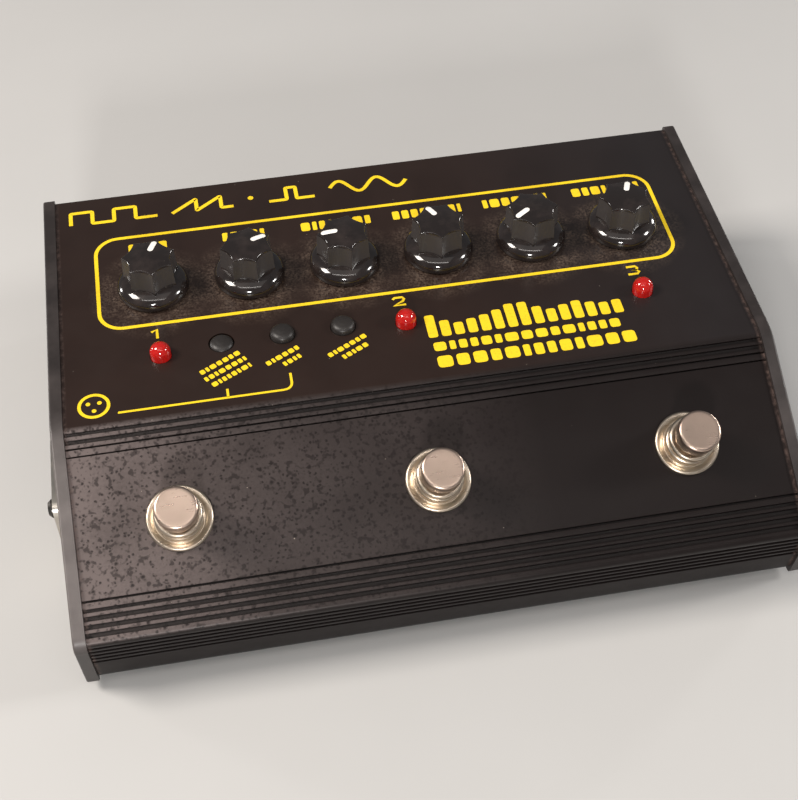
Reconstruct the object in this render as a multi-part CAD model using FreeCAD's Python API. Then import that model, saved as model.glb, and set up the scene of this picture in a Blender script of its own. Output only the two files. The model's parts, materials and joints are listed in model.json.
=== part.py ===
"""Three-channel bass preamp and direct injection box: a floor pedal in a ribbed extruded case.

Millimetres, +Z up, player's side towards -Y. The origin is under the middle of the box,
on the surface that the feet stand on.
"""
import FreeCAD, Part
import math
import os

V = FreeCAD.Vector
X_AXIS = V(1, 0, 0)
Y_AXIS = V(0, 1, 0)
Z_AXIS = V(0, 0, 1)

# ---- driving dimensions: the case -------------------------------------------------
WIDTH = 197.0            # over the outer faces of the two cheeks
CHEEK_T = 3.4            # cheek thickness
CHEEK_PROUD = 1.0        # cheek edge above the case skin, all round
CHEEK_BOTTOM_Z = 3.0
CHEEK_NOSE_R = 4.0
CHEEK_BREAK_R = 14.0
CHEEK_REAR_R = 1.5
CHEEK_EDGE_R = 0.6
SKIN = 2.2               # wall of the extrusion
REAR_Y = 70.5            # outer face of the rear wall
CONTROL_LENGTH = 90.0    # level control face, front to rear
FOOT_LENGTH = 57.1       # sloping foot face, along the slope
FOOT_TILT = 25.9         # degrees below level
WALL_LEAN = 9.6          # the front wall leans back under the nose by this many degrees
TOP_Z = 49.8             # control face
SHELL_BOTTOM_Z = 6.0
FRONT_LIP_DEPTH = 15.0   # inward lips that the base plate screws to
REAR_LIP_DEPTH = 14.2
END_REBATE = 0.5         # step round each end of the extrusion
NOSE_R = 1.6
REAR_EDGE_R = 0.8

# Decorative grooves along the extrusion, as (distance below the break line, width)
GROOVE_DEPTH = 0.8
BREAK_GROOVES = [(1.5, 1.0), (3.5, 1.2), (5.7, 0.5), (7.9, 0.4)]
NOSE_GROOVES = [(45.7, 0.6), (47.9, 0.95)]
RIB_PITCH = 2.12
RIB_GROOVE_W = 1.25
FIRST_NOSE_RIB = 49.75
NOSE_RIB_COUNT = 3
FIRST_WALL_RIB = 1.9     # below the nose
WALL_RIB_COUNT = 5

# ---- controls ---------------------------------------------------------------------
KNOB_COUNT = 6
KNOB_PITCH = 27.5
KNOB_ROW = 48.0          # behind the break line
KNOB_ROW_SHIFT = 0.6
KNOB_SKIRT_R = 10.1
KNOB_LOBE_R = 7.7
KNOB_LOBES = 7
KNOB_RIM_H = 12.0
KNOB_CROWN = 1.1
KNOB_SKIRT_EDGE = 1.7    # top of the skirt's upright edge
KNOB_SKIRT_TOP = 5.4     # where the skirt's dome meets the grip
KNOB_NECK_R = 5.6
KNOB_FLUTE_R = 6.8
KNOB_FLUTE_FLOOR = 6.0   # from the axis to the bottom of a flute
KNOB_RECESS_R = 6.4
KNOB_RECESS_H = 3.4
KNOB_GAP = 0.6           # skirt above the panel
POINTER_BEARINGS = [68.5, 27.0, 175.5, 112.0, 209.0, 69.0]
SHAFT_R = 3.0
SHAFT_TOP_H = 9.5
BUSHING_R = 3.4
BUSHING_PROUD = 2.2
POT_CAN_R = 8.0
POT_DROP = 2.0           # top of the can below the panel's underside
POT_NUT_AF = 10.0
POT_NUT_H = 2.0
RUNNING_GAP = 0.05

CHANNEL_PITCH = 68.0     # footswitches and lamps
LAMP_ROW = 21.5
LAMP_R = 2.9
LAMP_FLANGE_R = 3.3
LAMP_BOTTOM_Z = 46.0
LAMP_FLANGE_T = 1.0
LAMP_SHOULDER_Z = 51.3
BUTTON_ROW = 23.2
BUTTON_PITCH = 16.9
BUTTON_MID_X = -34.4
BUTTON_R = 3.4
BUTTON_PROUD = 2.2
BUTTON_TRAVEL = 1.3
BUTTON_DOME = 1.4
BUTTON_STEM_R = 1.5
BUTTON_STEM_Z = 43.9
BUTTON_FLANGE_R = 4.2
BUTTON_FLANGE_Z = 45.4
BUTTON_FLANGE_T = 1.5
PUSH_SWITCH_SIZE = 8.4
PUSH_SWITCH_TOP_Z = 42.5

FOOTSWITCH_ROW = 28.1    # down the slope from the break line
FLANGE_R = 8.75
FLANGE_T = 1.3
COLLAR_R = 6.4
COLLAR_TOP = 7.0
CAP_R = 5.6
CAP_BOTTOM = 9.2
CAP_TOP = 14.3
BARREL_R = 6.0
PLUNGER_R = 3.95
FOOT_TRAVEL = 2.0
BARREL_DEPTH = 7.0       # below the foot face
COLLAR_NECK = 0.5        # depth of the turned groove round the collar
FOOT_NUT_AF = 16.0
FOOT_NUT_H = 2.5
CLIP_GROOVE_R = 3.1
CLIP_GROOVE_TOP = -7.8
CLIP_GROOVE_BOTTOM = -8.6
CLIP_R = 5.4
CLIP_T = 0.6
PLUNGER_BOTTOM = -9.6
TACT_TOP = -12.6
TACT_BOTTOM = -16.0
TACT_SIZE = 12.0
FOOT_BOARD_DEPTH = 24.0

# ---- inside -----------------------------------------------------------------------
BOARD_Z = 36.0           # top of the main board
BOARD_T = 1.6
FOOT_BOARD_HALF = 75.5
MAIN_BOARD_HALF = 88.0
MAIN_BOARD_START = 10.0  # behind the break line
MAIN_BOARD_REAR_GAP = 8.0
STANDOFF_AF = 5.0
CHIP_X, CHIP_Y, CHIP_H = 6.4, 9.6, 3.2
CHIP_SPOTS = [(-40, 20), (-20, 20), (0, 50), (-40, 50), (-20, 50), (40, 52)]
RIBBON_HALF = 8.0
RIBBON_T = 0.8
BOSS_R = 3.0
SCREW_R = 1.45
SCREW_BORE_R = 1.5
SCREW_LENGTH = 12.0
COUNTERSINK_R = 2.8
COUNTERSINK_H = 1.5
BASE_T = 1.5
FOOT_PAD_R = 6.2
FOOT_PAD_SPOTS = [(-84.0, -54.0), (84.0, -54.0), (-84.0, 60.0), (84.0, 60.0)]
BASE_SCREW_SPOTS = [(x, y) for x in (-70.0, 0.0, 70.0) for y in (-60.5, 60.0)]
STANDOFF_SPOTS = [(x, y) for x in (-60.0, 58.0) for y in (-5.0, 50.0)]

JACK_Y = 50.0
JACK_Z = 20.0
JACK_BORE_R = 3.2
JACK_THREAD_R = 4.75
JACK_OUT = 3.4           # threaded nose beyond the cheek
JACK_BODY = 16.0
JACK_BODY_LENGTH = 24.0
JACK_BACK_WALL = 2.0
JACK_NUT_AF = 12.7
JACK_NUT_H = 2.0
JACK_WASHER_R = 7.4
JACK_WASHER_T = 0.8

XLR_ROW = -4.0           # behind the break line
XLR_Z = 22.3
XLR_FLANGE_Y = 26.0
XLR_FLANGE_Z = 31.0
XLR_FLANGE_T = 2.0
XLR_BARREL_R = 11.8
XLR_CAVITY_R = 9.6
XLR_CAVITY_DEPTH = 16.0
XLR_BARREL_LENGTH = 22.0
XLR_PIN_CIRCLE = 3.9     # radius
XLR_PIN_R = 1.2
XLR_PIN_LENGTH = 22.0
XLR_PIN_SET_BACK = 5.0   # tips behind the flange face
XLR_SCREW_HOLE_R = 1.3

DC_X = 30.0
DC_Z = 26.0
DC_BODY = 11.0
DC_BODY_DEPTH = 12.0
DC_NOSE_R = 4.5
DC_BORE_R = 2.85
DC_BORE_DEPTH = 10.0
DC_PIN_R = 1.05
DC_PIN_LENGTH = 9.0

TRAY_X0, TRAY_X1 = 12.0, 68.0
TRAY_Y0, TRAY_Y1 = 8.0, 42.0
TRAY_TOP_Z = 27.0
TRAY_WALL = 1.2
DOOR_GAP = 0.3
HINGE_PIN_R = 0.5
LUG_LENGTH = 3.0
BATTERY_X0, BATTERY_LENGTH = 14.0, 46.5
BATTERY_WIDTH, BATTERY_H = 26.4, 17.4
BATTERY_STUD_H = 2.2

# ---- worked out -------------------------------------------------------------------
HALF_WIDTH = WIDTH / 2
SHELL_HALF = HALF_WIDTH - CHEEK_T
BREAK_Y = REAR_Y - CONTROL_LENGTH
TILT = math.radians(FOOT_TILT)
NOSE_Y = BREAK_Y - FOOT_LENGTH * math.cos(TILT)
NOSE_Z = TOP_Z - FOOT_LENGTH * math.sin(TILT)
LEAN = math.tan(math.radians(WALL_LEAN))
BASE_TOP_Z = SHELL_BOTTOM_Z
BASE_BOTTOM_Z = BASE_TOP_Z - BASE_T
PANEL_UNDER_Z = TOP_Z - SKIN
KNOB_Y = BREAK_Y + KNOB_ROW
KNOB_XS = [KNOB_ROW_SHIFT + (i - (KNOB_COUNT - 1) / 2) * KNOB_PITCH for i in range(KNOB_COUNT)]
CHANNEL_XS = [-CHANNEL_PITCH, 0.0, CHANNEL_PITCH]
BUTTON_XS = [BUTTON_MID_X - BUTTON_PITCH, BUTTON_MID_X, BUTTON_MID_X + BUTTON_PITCH]
BUTTON_Y = BREAK_Y + BUTTON_ROW
LAMP_Y = BREAK_Y + LAMP_ROW
XLR_Y = BREAK_Y + XLR_ROW
CHEEK_SCREW_SPOTS = [(REAR_Y - 4.8, TOP_Z - 4.8), (REAR_Y - 4.8, 11.5),
                     (BREAK_Y + 6.0, TOP_Z - 5.0), (NOSE_Y + 6.2, NOSE_Z - 2.1)]
HINGE_X = TRAY_X0 + DOOR_GAP + BASE_T / 2
HINGE_Z = BASE_BOTTOM_Z + BASE_T / 2


# ---- helpers ----------------------------------------------------------------------
def box(x0, x1, y0, y1, z0, z1):
    return Part.makeBox(x1 - x0, y1 - y0, z1 - z0, V(x0, y0, z0))


def rod(radius, length, base, axis=Z_AXIS):
    return Part.makeCylinder(radius, length, base, axis)


def tube(outer, inner, length, base, axis=Z_AXIS):
    return rod(outer, length, base, axis).cut(rod(inner, length, base, axis))


def hexagon(across_flats, length, base, axis=Z_AXIS):
    """A hexagonal prism standing on base along axis."""
    corner = across_flats / 2 / math.cos(math.radians(30))
    points = [V(corner * math.cos(math.radians(60 * i)), corner * math.sin(math.radians(60 * i)), 0)
              for i in range(7)]
    prism = Part.Face(Part.makePolygon(points)).extrude(V(0, 0, length))
    prism.Placement = FreeCAD.Placement(base, FreeCAD.Rotation(Z_AXIS, axis))
    return prism


def turned(points):
    """A solid of revolution about Z from (radius, height) points."""
    wire = Part.makePolygon([V(r, 0, z) for r, z in points + points[:1]])
    return Part.Face(wire).revolve(V(0, 0, 0), Z_AXIS, 360)


def fused(shapes):
    return shapes[0].multiFuse(shapes[1:]).removeSplitter()


def group(shapes):
    """Separate solids kept in one node."""
    return Part.makeCompound(shapes)


def moved(shape, x, y, z):
    copy = shape.copy()
    copy.translate(V(x, y, z))
    return copy


def on_foot_face(shape, x, down):
    """Stand a shape made about local Z on the foot face, `down` mm below the break line."""
    copy = shape.copy()
    spot = V(x, BREAK_Y - down * math.cos(TILT), TOP_Z - down * math.sin(TILT))
    copy.Placement = FreeCAD.Placement(spot, FreeCAD.Rotation(X_AXIS, FOOT_TILT))
    return copy


def profile(inset):
    """The case's side outline, moved inwards by inset: (y, z) of its rear top, break and nose corners."""
    break_y = BREAK_Y + inset * math.tan(TILT / 2)
    nose_turn = math.radians(90 - FOOT_TILT + WALL_LEAN)
    along = inset * math.tan(nose_turn / 2)
    nose_y = NOSE_Y + along * math.cos(TILT) + inset * math.sin(TILT)
    nose_z = NOSE_Z + along * math.sin(TILT) - inset * math.cos(TILT)
    return [(REAR_Y - inset, TOP_Z - inset), (break_y, TOP_Z - inset), (nose_y, nose_z)]


def outline_face(inset, bottom_z, x):
    """A flat face of the side outline, down to bottom_z, at x."""
    rear, bend, nose = profile(inset)
    front_foot = (nose[0] + (nose[1] - bottom_z) * LEAN, bottom_z)
    corners = [(rear[0], bottom_z), rear, bend, nose, front_foot]
    return Part.Face(Part.makePolygon([V(x, y, z) for y, z in corners + corners[:1]]))


def save(name, shape):
    shape.exportStep(os.path.join("parts", name + ".step"))
    b = shape.BoundBox
    print("%-22s solids %2d  vol %9.1f  x %7.2f %7.2f  y %7.2f %7.2f  z %6.2f %6.2f  valid %s" % (
        name, len(shape.Solids), shape.Volume, b.XMin, b.XMax, b.YMin, b.YMax, b.ZMin, b.ZMax, shape.isValid()))


# ---- the case ---------------------------------------------------------------------
def groove_bars():
    """Bars that cut the decorative grooves along the case, at the break and round the nose."""
    bars = []
    nose_ribs = [(FIRST_NOSE_RIB + RIB_PITCH * i, RIB_GROOVE_W) for i in range(NOSE_RIB_COUNT)]
    for down, wide in BREAK_GROOVES + NOSE_GROOVES + nose_ribs:
        bar = box(-HALF_WIDTH, HALF_WIDTH, -wide, 0, -GROOVE_DEPTH, GROOVE_DEPTH)
        bars.append(on_foot_face(bar, 0.0, down))
    for i in range(WALL_RIB_COUNT):
        along = FIRST_WALL_RIB + RIB_PITCH * i
        bar = box(-HALF_WIDTH, HALF_WIDTH, -GROOVE_DEPTH, GROOVE_DEPTH, -RIB_GROOVE_W, 0)
        spot = V(0, NOSE_Y + along * math.sin(math.radians(WALL_LEAN)),
                 NOSE_Z - along * math.cos(math.radians(WALL_LEAN)))
        bar.Placement = FreeCAD.Placement(spot, FreeCAD.Rotation(X_AXIS, WALL_LEAN))
        bars.append(bar)
    return bars


def long_edges(body, test):
    """The edges that run the whole length of the extrusion and pass the test on their box."""
    return [e for e in body.Edges if abs(e.Length - 2 * SHELL_HALF) < 0.01 and test(e.BoundBox)]


def top_shell():
    length = 2 * SHELL_HALF
    body = outline_face(0.0, SHELL_BOTTOM_Z, -SHELL_HALF).extrude(V(length, 0, 0))
    body = body.makeFillet(NOSE_R, long_edges(body, lambda b: abs(b.ZMin - NOSE_Z) < 0.01))
    rear_top = long_edges(body, lambda b: b.ZMin > TOP_Z - 0.1 and b.YMin > REAR_Y - 0.1)
    body = body.makeFillet(REAR_EDGE_R, rear_top)
    hollow = outline_face(SKIN, SHELL_BOTTOM_Z + SKIN, -SHELL_HALF - 1).extrude(V(length + 2, 0, 0))
    mouth = box(-SHELL_HALF - 1, SHELL_HALF + 1, NOSE_Y + FRONT_LIP_DEPTH, REAR_Y - REAR_LIP_DEPTH,
                SHELL_BOTTOM_Z - 1, SHELL_BOTTOM_Z + SKIN + 1)
    body = body.cut(hollow).cut(mouth)
    bosses = [rod(BOSS_R, length, V(-SHELL_HALF, y, z), X_AXIS) for y, z in CHEEK_SCREW_SPOTS]
    body = body.multiFuse(bosses)
    outer = outline_face(-1.0, SHELL_BOTTOM_Z - 1, 0.0)
    inner = outline_face(END_REBATE, SHELL_BOTTOM_Z - 2, 0.0)
    ring = outer.cut(inner)
    cuts = [moved(ring.extrude(V(END_REBATE, 0, 0)), x, 0, 0) for x in (-SHELL_HALF, SHELL_HALF - END_REBATE)]
    cuts += groove_bars()
    cuts += [rod(SCREW_BORE_R, length + 2, V(-SHELL_HALF - 1, y, z), X_AXIS) for y, z in CHEEK_SCREW_SPOTS]
    cuts += [panel_hole(BUSHING_R + 0.2, x, KNOB_Y) for x in KNOB_XS]
    cuts += [panel_hole(LAMP_R + 0.15, x, LAMP_Y) for x in CHANNEL_XS]
    cuts += [panel_hole(BUTTON_R + 0.3, x, BUTTON_Y) for x in BUTTON_XS]
    cuts += [on_foot_face(rod(BARREL_R + 0.2, 6, V(0, 0, -4)), x, FOOTSWITCH_ROW) for x in CHANNEL_XS]
    cuts.append(rod(DC_NOSE_R + 0.1, 6, V(DC_X, REAR_Y - 4, DC_Z), Y_AXIS))
    cuts += [rod(SCREW_BORE_R, 6, V(x, y, SHELL_BOTTOM_Z - 1)) for x, y in BASE_SCREW_SPOTS]
    return body.cut(cuts)


def panel_hole(radius, x, y):
    return rod(radius, SKIN + 2, V(x, y, PANEL_UNDER_Z - 1))


def cheek_blank(side):
    """One cheek as a rounded plate; side is -1 for the left and +1 for the right."""
    x0 = SHELL_HALF if side > 0 else -HALF_WIDTH
    plate = outline_face(-CHEEK_PROUD, CHEEK_BOTTOM_Z, x0).extrude(V(CHEEK_T, 0, 0))

    def corner_edges(test):
        return [e for e in plate.Edges if abs(e.Length - CHEEK_T) < 0.01 and test(e.BoundBox)]
    plate = plate.makeFillet(CHEEK_NOSE_R, corner_edges(lambda b: b.YMin < NOSE_Y + 1 and b.ZMin > 15))
    plate = plate.makeFillet(CHEEK_BREAK_R, corner_edges(
        lambda b: abs(b.YMin - BREAK_Y) < 3 and b.ZMin > TOP_Z))
    plate = plate.makeFillet(CHEEK_REAR_R, corner_edges(lambda b: b.YMin > REAR_Y))
    plate = plate.makeFillet(CHEEK_REAR_R, corner_edges(lambda b: b.ZMax < CHEEK_BOTTOM_Z + 0.1 and b.YMin < 0))
    outer_x = side * HALF_WIDTH
    rim = [e for e in plate.Edges if abs(e.BoundBox.XMin - outer_x) < 0.01 and e.BoundBox.XLength < 0.01]
    return plate.makeFillet(CHEEK_EDGE_R, rim)


def countersink(side, y, z, extra):
    """A countersunk screw shape entering from one side, larger by extra."""
    axis = V(-side, 0, 0)
    face = V(side * HALF_WIDTH, y, z)
    head = Part.makeCone(COUNTERSINK_R + extra, SCREW_R + extra, COUNTERSINK_H, face, axis)
    shank = rod(SCREW_R + extra, SCREW_LENGTH, face, axis)
    return head.fuse(shank)


def left_cheek():
    cuts = [countersink(-1, y, z, 0.02) for y, z in CHEEK_SCREW_SPOTS]
    cuts.append(rod(XLR_BARREL_R + 0.1, 6, V(-HALF_WIDTH - 1, XLR_Y, XLR_Z), X_AXIS))
    cuts.append(rod(JACK_THREAD_R + 0.1, 6, V(-HALF_WIDTH - 1, JACK_Y, JACK_Z), X_AXIS))
    cuts += [rod(XLR_SCREW_HOLE_R, 6, V(-HALF_WIDTH - 1, y, z), X_AXIS) for y, z in xlr_screw_spots()]
    return cheek_blank(-1).cut(cuts)


def right_cheek():
    cuts = [countersink(1, y, z, 0.02) for y, z in CHEEK_SCREW_SPOTS]
    cuts.append(rod(JACK_THREAD_R + 0.1, 6, V(HALF_WIDTH + 1, JACK_Y, JACK_Z), V(-1, 0, 0)))
    return cheek_blank(1).cut(cuts)


def cheek_screws():
    screws = []
    for side in (-1, 1):
        for y, z in CHEEK_SCREW_SPOTS:
            face = V(side * (HALF_WIDTH + 0.1), y, z)
            cross = [Part.makeBox(1.1, 2.6, 0.5, face + V(-1.1 if side > 0 else 0, -1.3, -0.25)),
                     Part.makeBox(1.1, 0.5, 2.6, face + V(-1.1 if side > 0 else 0, -0.25, -1.3))]
            screws.append(countersink(side, y, z, 0.0).cut(cross))
    return group(screws)


def base_plate():
    plate = box(-SHELL_HALF + 0.2, SHELL_HALF - 0.2, NOSE_Y + 3.8, REAR_Y - 0.3, BASE_BOTTOM_Z, BASE_TOP_Z)
    plate = plate.cut(box(TRAY_X0, TRAY_X1, TRAY_Y0, TRAY_Y1, 0, 10))
    plate = plate.cut([hinge_lug(y0, 0.15) for y0 in (TRAY_Y0 - LUG_LENGTH, TRAY_Y1)])
    return plate.cut([rod(SCREW_BORE_R + 0.1, 6, V(x, y, 2)) for x, y in BASE_SCREW_SPOTS])


def pan_head_screw(head_r, head_h, shank_r, shank_length):
    """A cross-slotted screw: head below z = 0, shank above it."""
    screw = turned([(0, -head_h), (head_r * 0.7, -head_h), (head_r, -head_h * 0.4), (head_r, 0),
                    (shank_r, 0), (shank_r, shank_length), (0, shank_length)])
    slots = [box(-1.5, 1.5, -0.3, 0.3, -head_h - 1, -head_h + 0.8),
             box(-0.3, 0.3, -1.5, 1.5, -head_h - 1, -head_h + 0.8)]
    return screw.cut(slots)


def base_screws():
    screw = pan_head_screw(2.9, 1.6, SCREW_R, 7.5)
    return group([moved(screw, x, y, BASE_BOTTOM_Z) for x, y in BASE_SCREW_SPOTS])


def feet():
    pad = turned([(0, 0), (FOOT_PAD_R - 1.2, 0), (FOOT_PAD_R - 0.5, 0.6), (FOOT_PAD_R, BASE_BOTTOM_Z),
                  (0, BASE_BOTTOM_Z)])
    return group([moved(pad, x, y, 0) for x, y in FOOT_PAD_SPOTS])


# ---- knobs and pots ---------------------------------------------------------------
def pot_bodies():
    can_top = PANEL_UNDER_Z - POT_DROP
    pots = []
    for x in KNOB_XS:
        can = rod(POT_CAN_R, can_top - BOARD_Z, V(x, KNOB_Y, BOARD_Z))
        nose = rod(BUSHING_R, TOP_Z + BUSHING_PROUD - can_top, V(x, KNOB_Y, can_top))
        bore = rod(SHAFT_R + RUNNING_GAP, TOP_Z + 4 - can_top, V(x, KNOB_Y, can_top + 0.01))
        pots.append(can.fuse(nose).cut(bore))
    return group(pots)


def pot_nuts():
    nuts = []
    for x in KNOB_XS:
        nut = hexagon(POT_NUT_AF, POT_NUT_H, V(x, KNOB_Y, TOP_Z))
        nuts.append(nut.cut(rod(BUSHING_R, 4, V(x, KNOB_Y, TOP_Z - 1))))
    return group(nuts)


def knob_shaft(x):
    start = PANEL_UNDER_Z - POT_DROP + 0.2
    return rod(SHAFT_R, TOP_Z + SHAFT_TOP_H - start, V(x, KNOB_Y, start))


def knob(x, pointer_bearing):
    """A domed skirt with a fluted grip: one lobe under the pointer, the rest spaced evenly."""
    skirt_face = [(0, KNOB_GAP), (KNOB_SKIRT_R, KNOB_GAP), (KNOB_SKIRT_R, KNOB_SKIRT_EDGE)]
    steps = 6
    for i in range(1, steps + 1):
        turn = math.radians(90.0 * i / steps)
        skirt_face.append((KNOB_NECK_R + (KNOB_SKIRT_R - KNOB_NECK_R) * math.cos(turn),
                           KNOB_SKIRT_EDGE + (KNOB_SKIRT_TOP - KNOB_SKIRT_EDGE) * math.sin(turn)))
    skirt = turned(skirt_face + [(0, KNOB_SKIRT_TOP)])
    grip = turned([(0, KNOB_GAP), (KNOB_LOBE_R, KNOB_GAP), (KNOB_LOBE_R, KNOB_RIM_H),
                   (KNOB_LOBE_R * 0.8, KNOB_RIM_H + 0.7 * KNOB_CROWN), (KNOB_LOBE_R * 0.45, KNOB_RIM_H + KNOB_CROWN),
                   (0, KNOB_RIM_H + KNOB_CROWN)])
    flute_centre = KNOB_FLUTE_FLOOR + KNOB_FLUTE_R
    step = 360.0 / KNOB_LOBES
    flutes = []
    for i in range(KNOB_LOBES):
        turn = math.radians(pointer_bearing + (i + 0.5) * step)
        spot = V(flute_centre * math.cos(turn), flute_centre * math.sin(turn), 0)
        flutes.append(rod(KNOB_FLUTE_R, 20, spot))
    body = grip.cut(flutes).fuse(skirt)
    recess = rod(KNOB_RECESS_R, KNOB_RECESS_H, V(0, 0, 0))
    bore = rod(SHAFT_R, SHAFT_TOP_H, V(0, 0, 0))
    return moved(body.cut([recess, bore]), x, KNOB_Y, TOP_Z)


# ---- footswitches -----------------------------------------------------------------
def footswitch_bushings():
    """Flange, dished round its rim, and a collar of two rings, bored for the plunger."""
    bore, neck = PLUNGER_R + RUNNING_GAP, COLLAR_R - COLLAR_NECK
    bushing = turned([(bore, -BARREL_DEPTH), (BARREL_R, -BARREL_DEPTH), (BARREL_R, 0), (FLANGE_R, 0),
                      (FLANGE_R, FLANGE_T - 0.4), (FLANGE_R - 0.4, FLANGE_T), (FLANGE_R - 1.6, FLANGE_T - 0.2),
                      (COLLAR_R + 0.4, FLANGE_T - 0.5), (COLLAR_R, FLANGE_T - 0.5), (COLLAR_R, 3.6),
                      (neck, 3.9), (neck, 4.4), (COLLAR_R - 0.1, 4.7), (COLLAR_R - 0.1, COLLAR_TOP - 0.4),
                      (neck, COLLAR_TOP), (bore, COLLAR_TOP)])
    return group([on_foot_face(bushing, x, FOOTSWITCH_ROW) for x in CHANNEL_XS])


def footswitch_nuts():
    nut = hexagon(FOOT_NUT_AF, FOOT_NUT_H, V(0, 0, -SKIN - FOOT_NUT_H)).cut(rod(BARREL_R, 10, V(0, 0, -8)))
    return group([on_foot_face(nut, x, FOOTSWITCH_ROW) for x in CHANNEL_XS])


def footswitch_cap(x):
    """A button in one piece with its plunger, which is grooved for the retaining clip."""
    cap = turned([(0, PLUNGER_BOTTOM), (PLUNGER_R - 0.4, PLUNGER_BOTTOM), (PLUNGER_R, PLUNGER_BOTTOM + 0.4),
                  (PLUNGER_R, CLIP_GROOVE_BOTTOM), (CLIP_GROOVE_R, CLIP_GROOVE_BOTTOM),
                  (CLIP_GROOVE_R, CLIP_GROOVE_TOP), (PLUNGER_R, CLIP_GROOVE_TOP), (PLUNGER_R, CAP_BOTTOM),
                  (CAP_R - 0.3, CAP_BOTTOM), (CAP_R, CAP_BOTTOM + 0.3), (CAP_R, CAP_TOP - 0.7),
                  (CAP_R - 0.25, CAP_TOP - 0.2), (CAP_R - 0.75, CAP_TOP), (0, CAP_TOP)])
    return on_foot_face(cap, x, FOOTSWITCH_ROW)


def footswitch_clip(x):
    """An open retaining ring in the plunger's groove."""
    ring = tube(CLIP_R, CLIP_GROOVE_R, CLIP_T, V(0, 0, CLIP_GROOVE_BOTTOM + 0.1))
    ring = ring.cut(box(-1.6, 1.6, -CLIP_R - 1, -2, CLIP_GROOVE_BOTTOM - 1, CLIP_GROOVE_TOP + 1))
    return on_foot_face(ring, x, FOOTSWITCH_ROW)


def tact_switches():
    stem_h = PLUNGER_BOTTOM - FOOT_TRAVEL - 0.1 - TACT_TOP
    half = TACT_SIZE / 2
    body = box(-half, half, -half, half, TACT_BOTTOM, TACT_TOP).fuse(rod(3.0, stem_h, V(0, 0, TACT_TOP)))
    return group([on_foot_face(body, x, FOOTSWITCH_ROW) for x in CHANNEL_XS])


def foot_board():
    half = FOOT_BOARD_DEPTH / 2
    board = box(-FOOT_BOARD_HALF, FOOT_BOARD_HALF, -half, half, TACT_BOTTOM - BOARD_T, TACT_BOTTOM)
    return on_foot_face(board, 0.0, FOOTSWITCH_ROW)


# ---- lamps, push buttons and the main board ------------------------------------------
def lamps():
    rim_top = LAMP_BOTTOM_Z + LAMP_FLANGE_T
    lens = turned([(0, LAMP_BOTTOM_Z), (LAMP_FLANGE_R, LAMP_BOTTOM_Z), (LAMP_FLANGE_R, rim_top),
                   (LAMP_R, rim_top), (LAMP_R, LAMP_SHOULDER_Z), (0, LAMP_SHOULDER_Z)])
    dome = Part.makeSphere(LAMP_R, V(0, 0, LAMP_SHOULDER_Z))
    dome = dome.common(box(-LAMP_R, LAMP_R, -LAMP_R, LAMP_R, LAMP_SHOULDER_Z, LAMP_SHOULDER_Z + LAMP_R))
    return group([moved(lens.fuse(dome).removeSplitter(), x, LAMP_Y, 0) for x in CHANNEL_XS])


def lamp_spacers():
    return group([tube(LAMP_FLANGE_R, 1.0, LAMP_BOTTOM_Z - BOARD_Z, V(x, LAMP_Y, BOARD_Z)) for x in CHANNEL_XS])


def push_button(index):
    """A domed cap on a short stem; the first one stands latched down."""
    drop = BUTTON_TRAVEL if index == 0 else 0.0
    rim = TOP_Z + BUTTON_PROUD - BUTTON_DOME
    flange_top = BUTTON_FLANGE_Z + BUTTON_FLANGE_T
    outline = [(0, BUTTON_STEM_Z), (BUTTON_STEM_R, BUTTON_STEM_Z), (BUTTON_STEM_R, BUTTON_FLANGE_Z),
               (BUTTON_FLANGE_R, BUTTON_FLANGE_Z), (BUTTON_FLANGE_R, flange_top), (BUTTON_R, flange_top),
               (BUTTON_R, rim)]
    steps = 5
    for i in range(1, steps):
        turn = math.radians(90.0 * i / steps)
        outline.append((BUTTON_R * math.cos(turn), rim + BUTTON_DOME * math.sin(turn)))
    outline.append((0, rim + BUTTON_DOME))
    return moved(turned(outline), BUTTON_XS[index], BUTTON_Y, -drop)


def push_switches():
    half = PUSH_SWITCH_SIZE / 2
    return group([box(x - half, x + half, BUTTON_Y - half, BUTTON_Y + half, BOARD_Z, PUSH_SWITCH_TOP_Z)
                  for x in BUTTON_XS])


def main_board():
    board = box(-MAIN_BOARD_HALF, MAIN_BOARD_HALF, BREAK_Y + MAIN_BOARD_START, REAR_Y - MAIN_BOARD_REAR_GAP,
                BOARD_Z - BOARD_T, BOARD_Z)
    return board.cut([rod(1.2, 4, V(x, y, BOARD_Z - 3)) for x, y in STANDOFF_SPOTS])


def standoffs():
    length = BOARD_Z - BOARD_T - BASE_TOP_Z
    return group([hexagon(STANDOFF_AF, length, V(x, y, BASE_TOP_Z)) for x, y in STANDOFF_SPOTS])


def board_screws():
    screw = pan_head_screw(2.3, 1.4, 1.15, BOARD_T)
    screw.rotate(V(0, 0, 0), X_AXIS, 180)
    return group([moved(screw, x, y, BOARD_Z) for x, y in STANDOFF_SPOTS])


def board_chips():
    """The larger packages on the underside of the main board."""
    under = BOARD_Z - BOARD_T
    return group([box(x - CHIP_X / 2, x + CHIP_X / 2, y - CHIP_Y / 2, y + CHIP_Y / 2, under - CHIP_H, under)
                  for x, y in CHIP_SPOTS])


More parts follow.
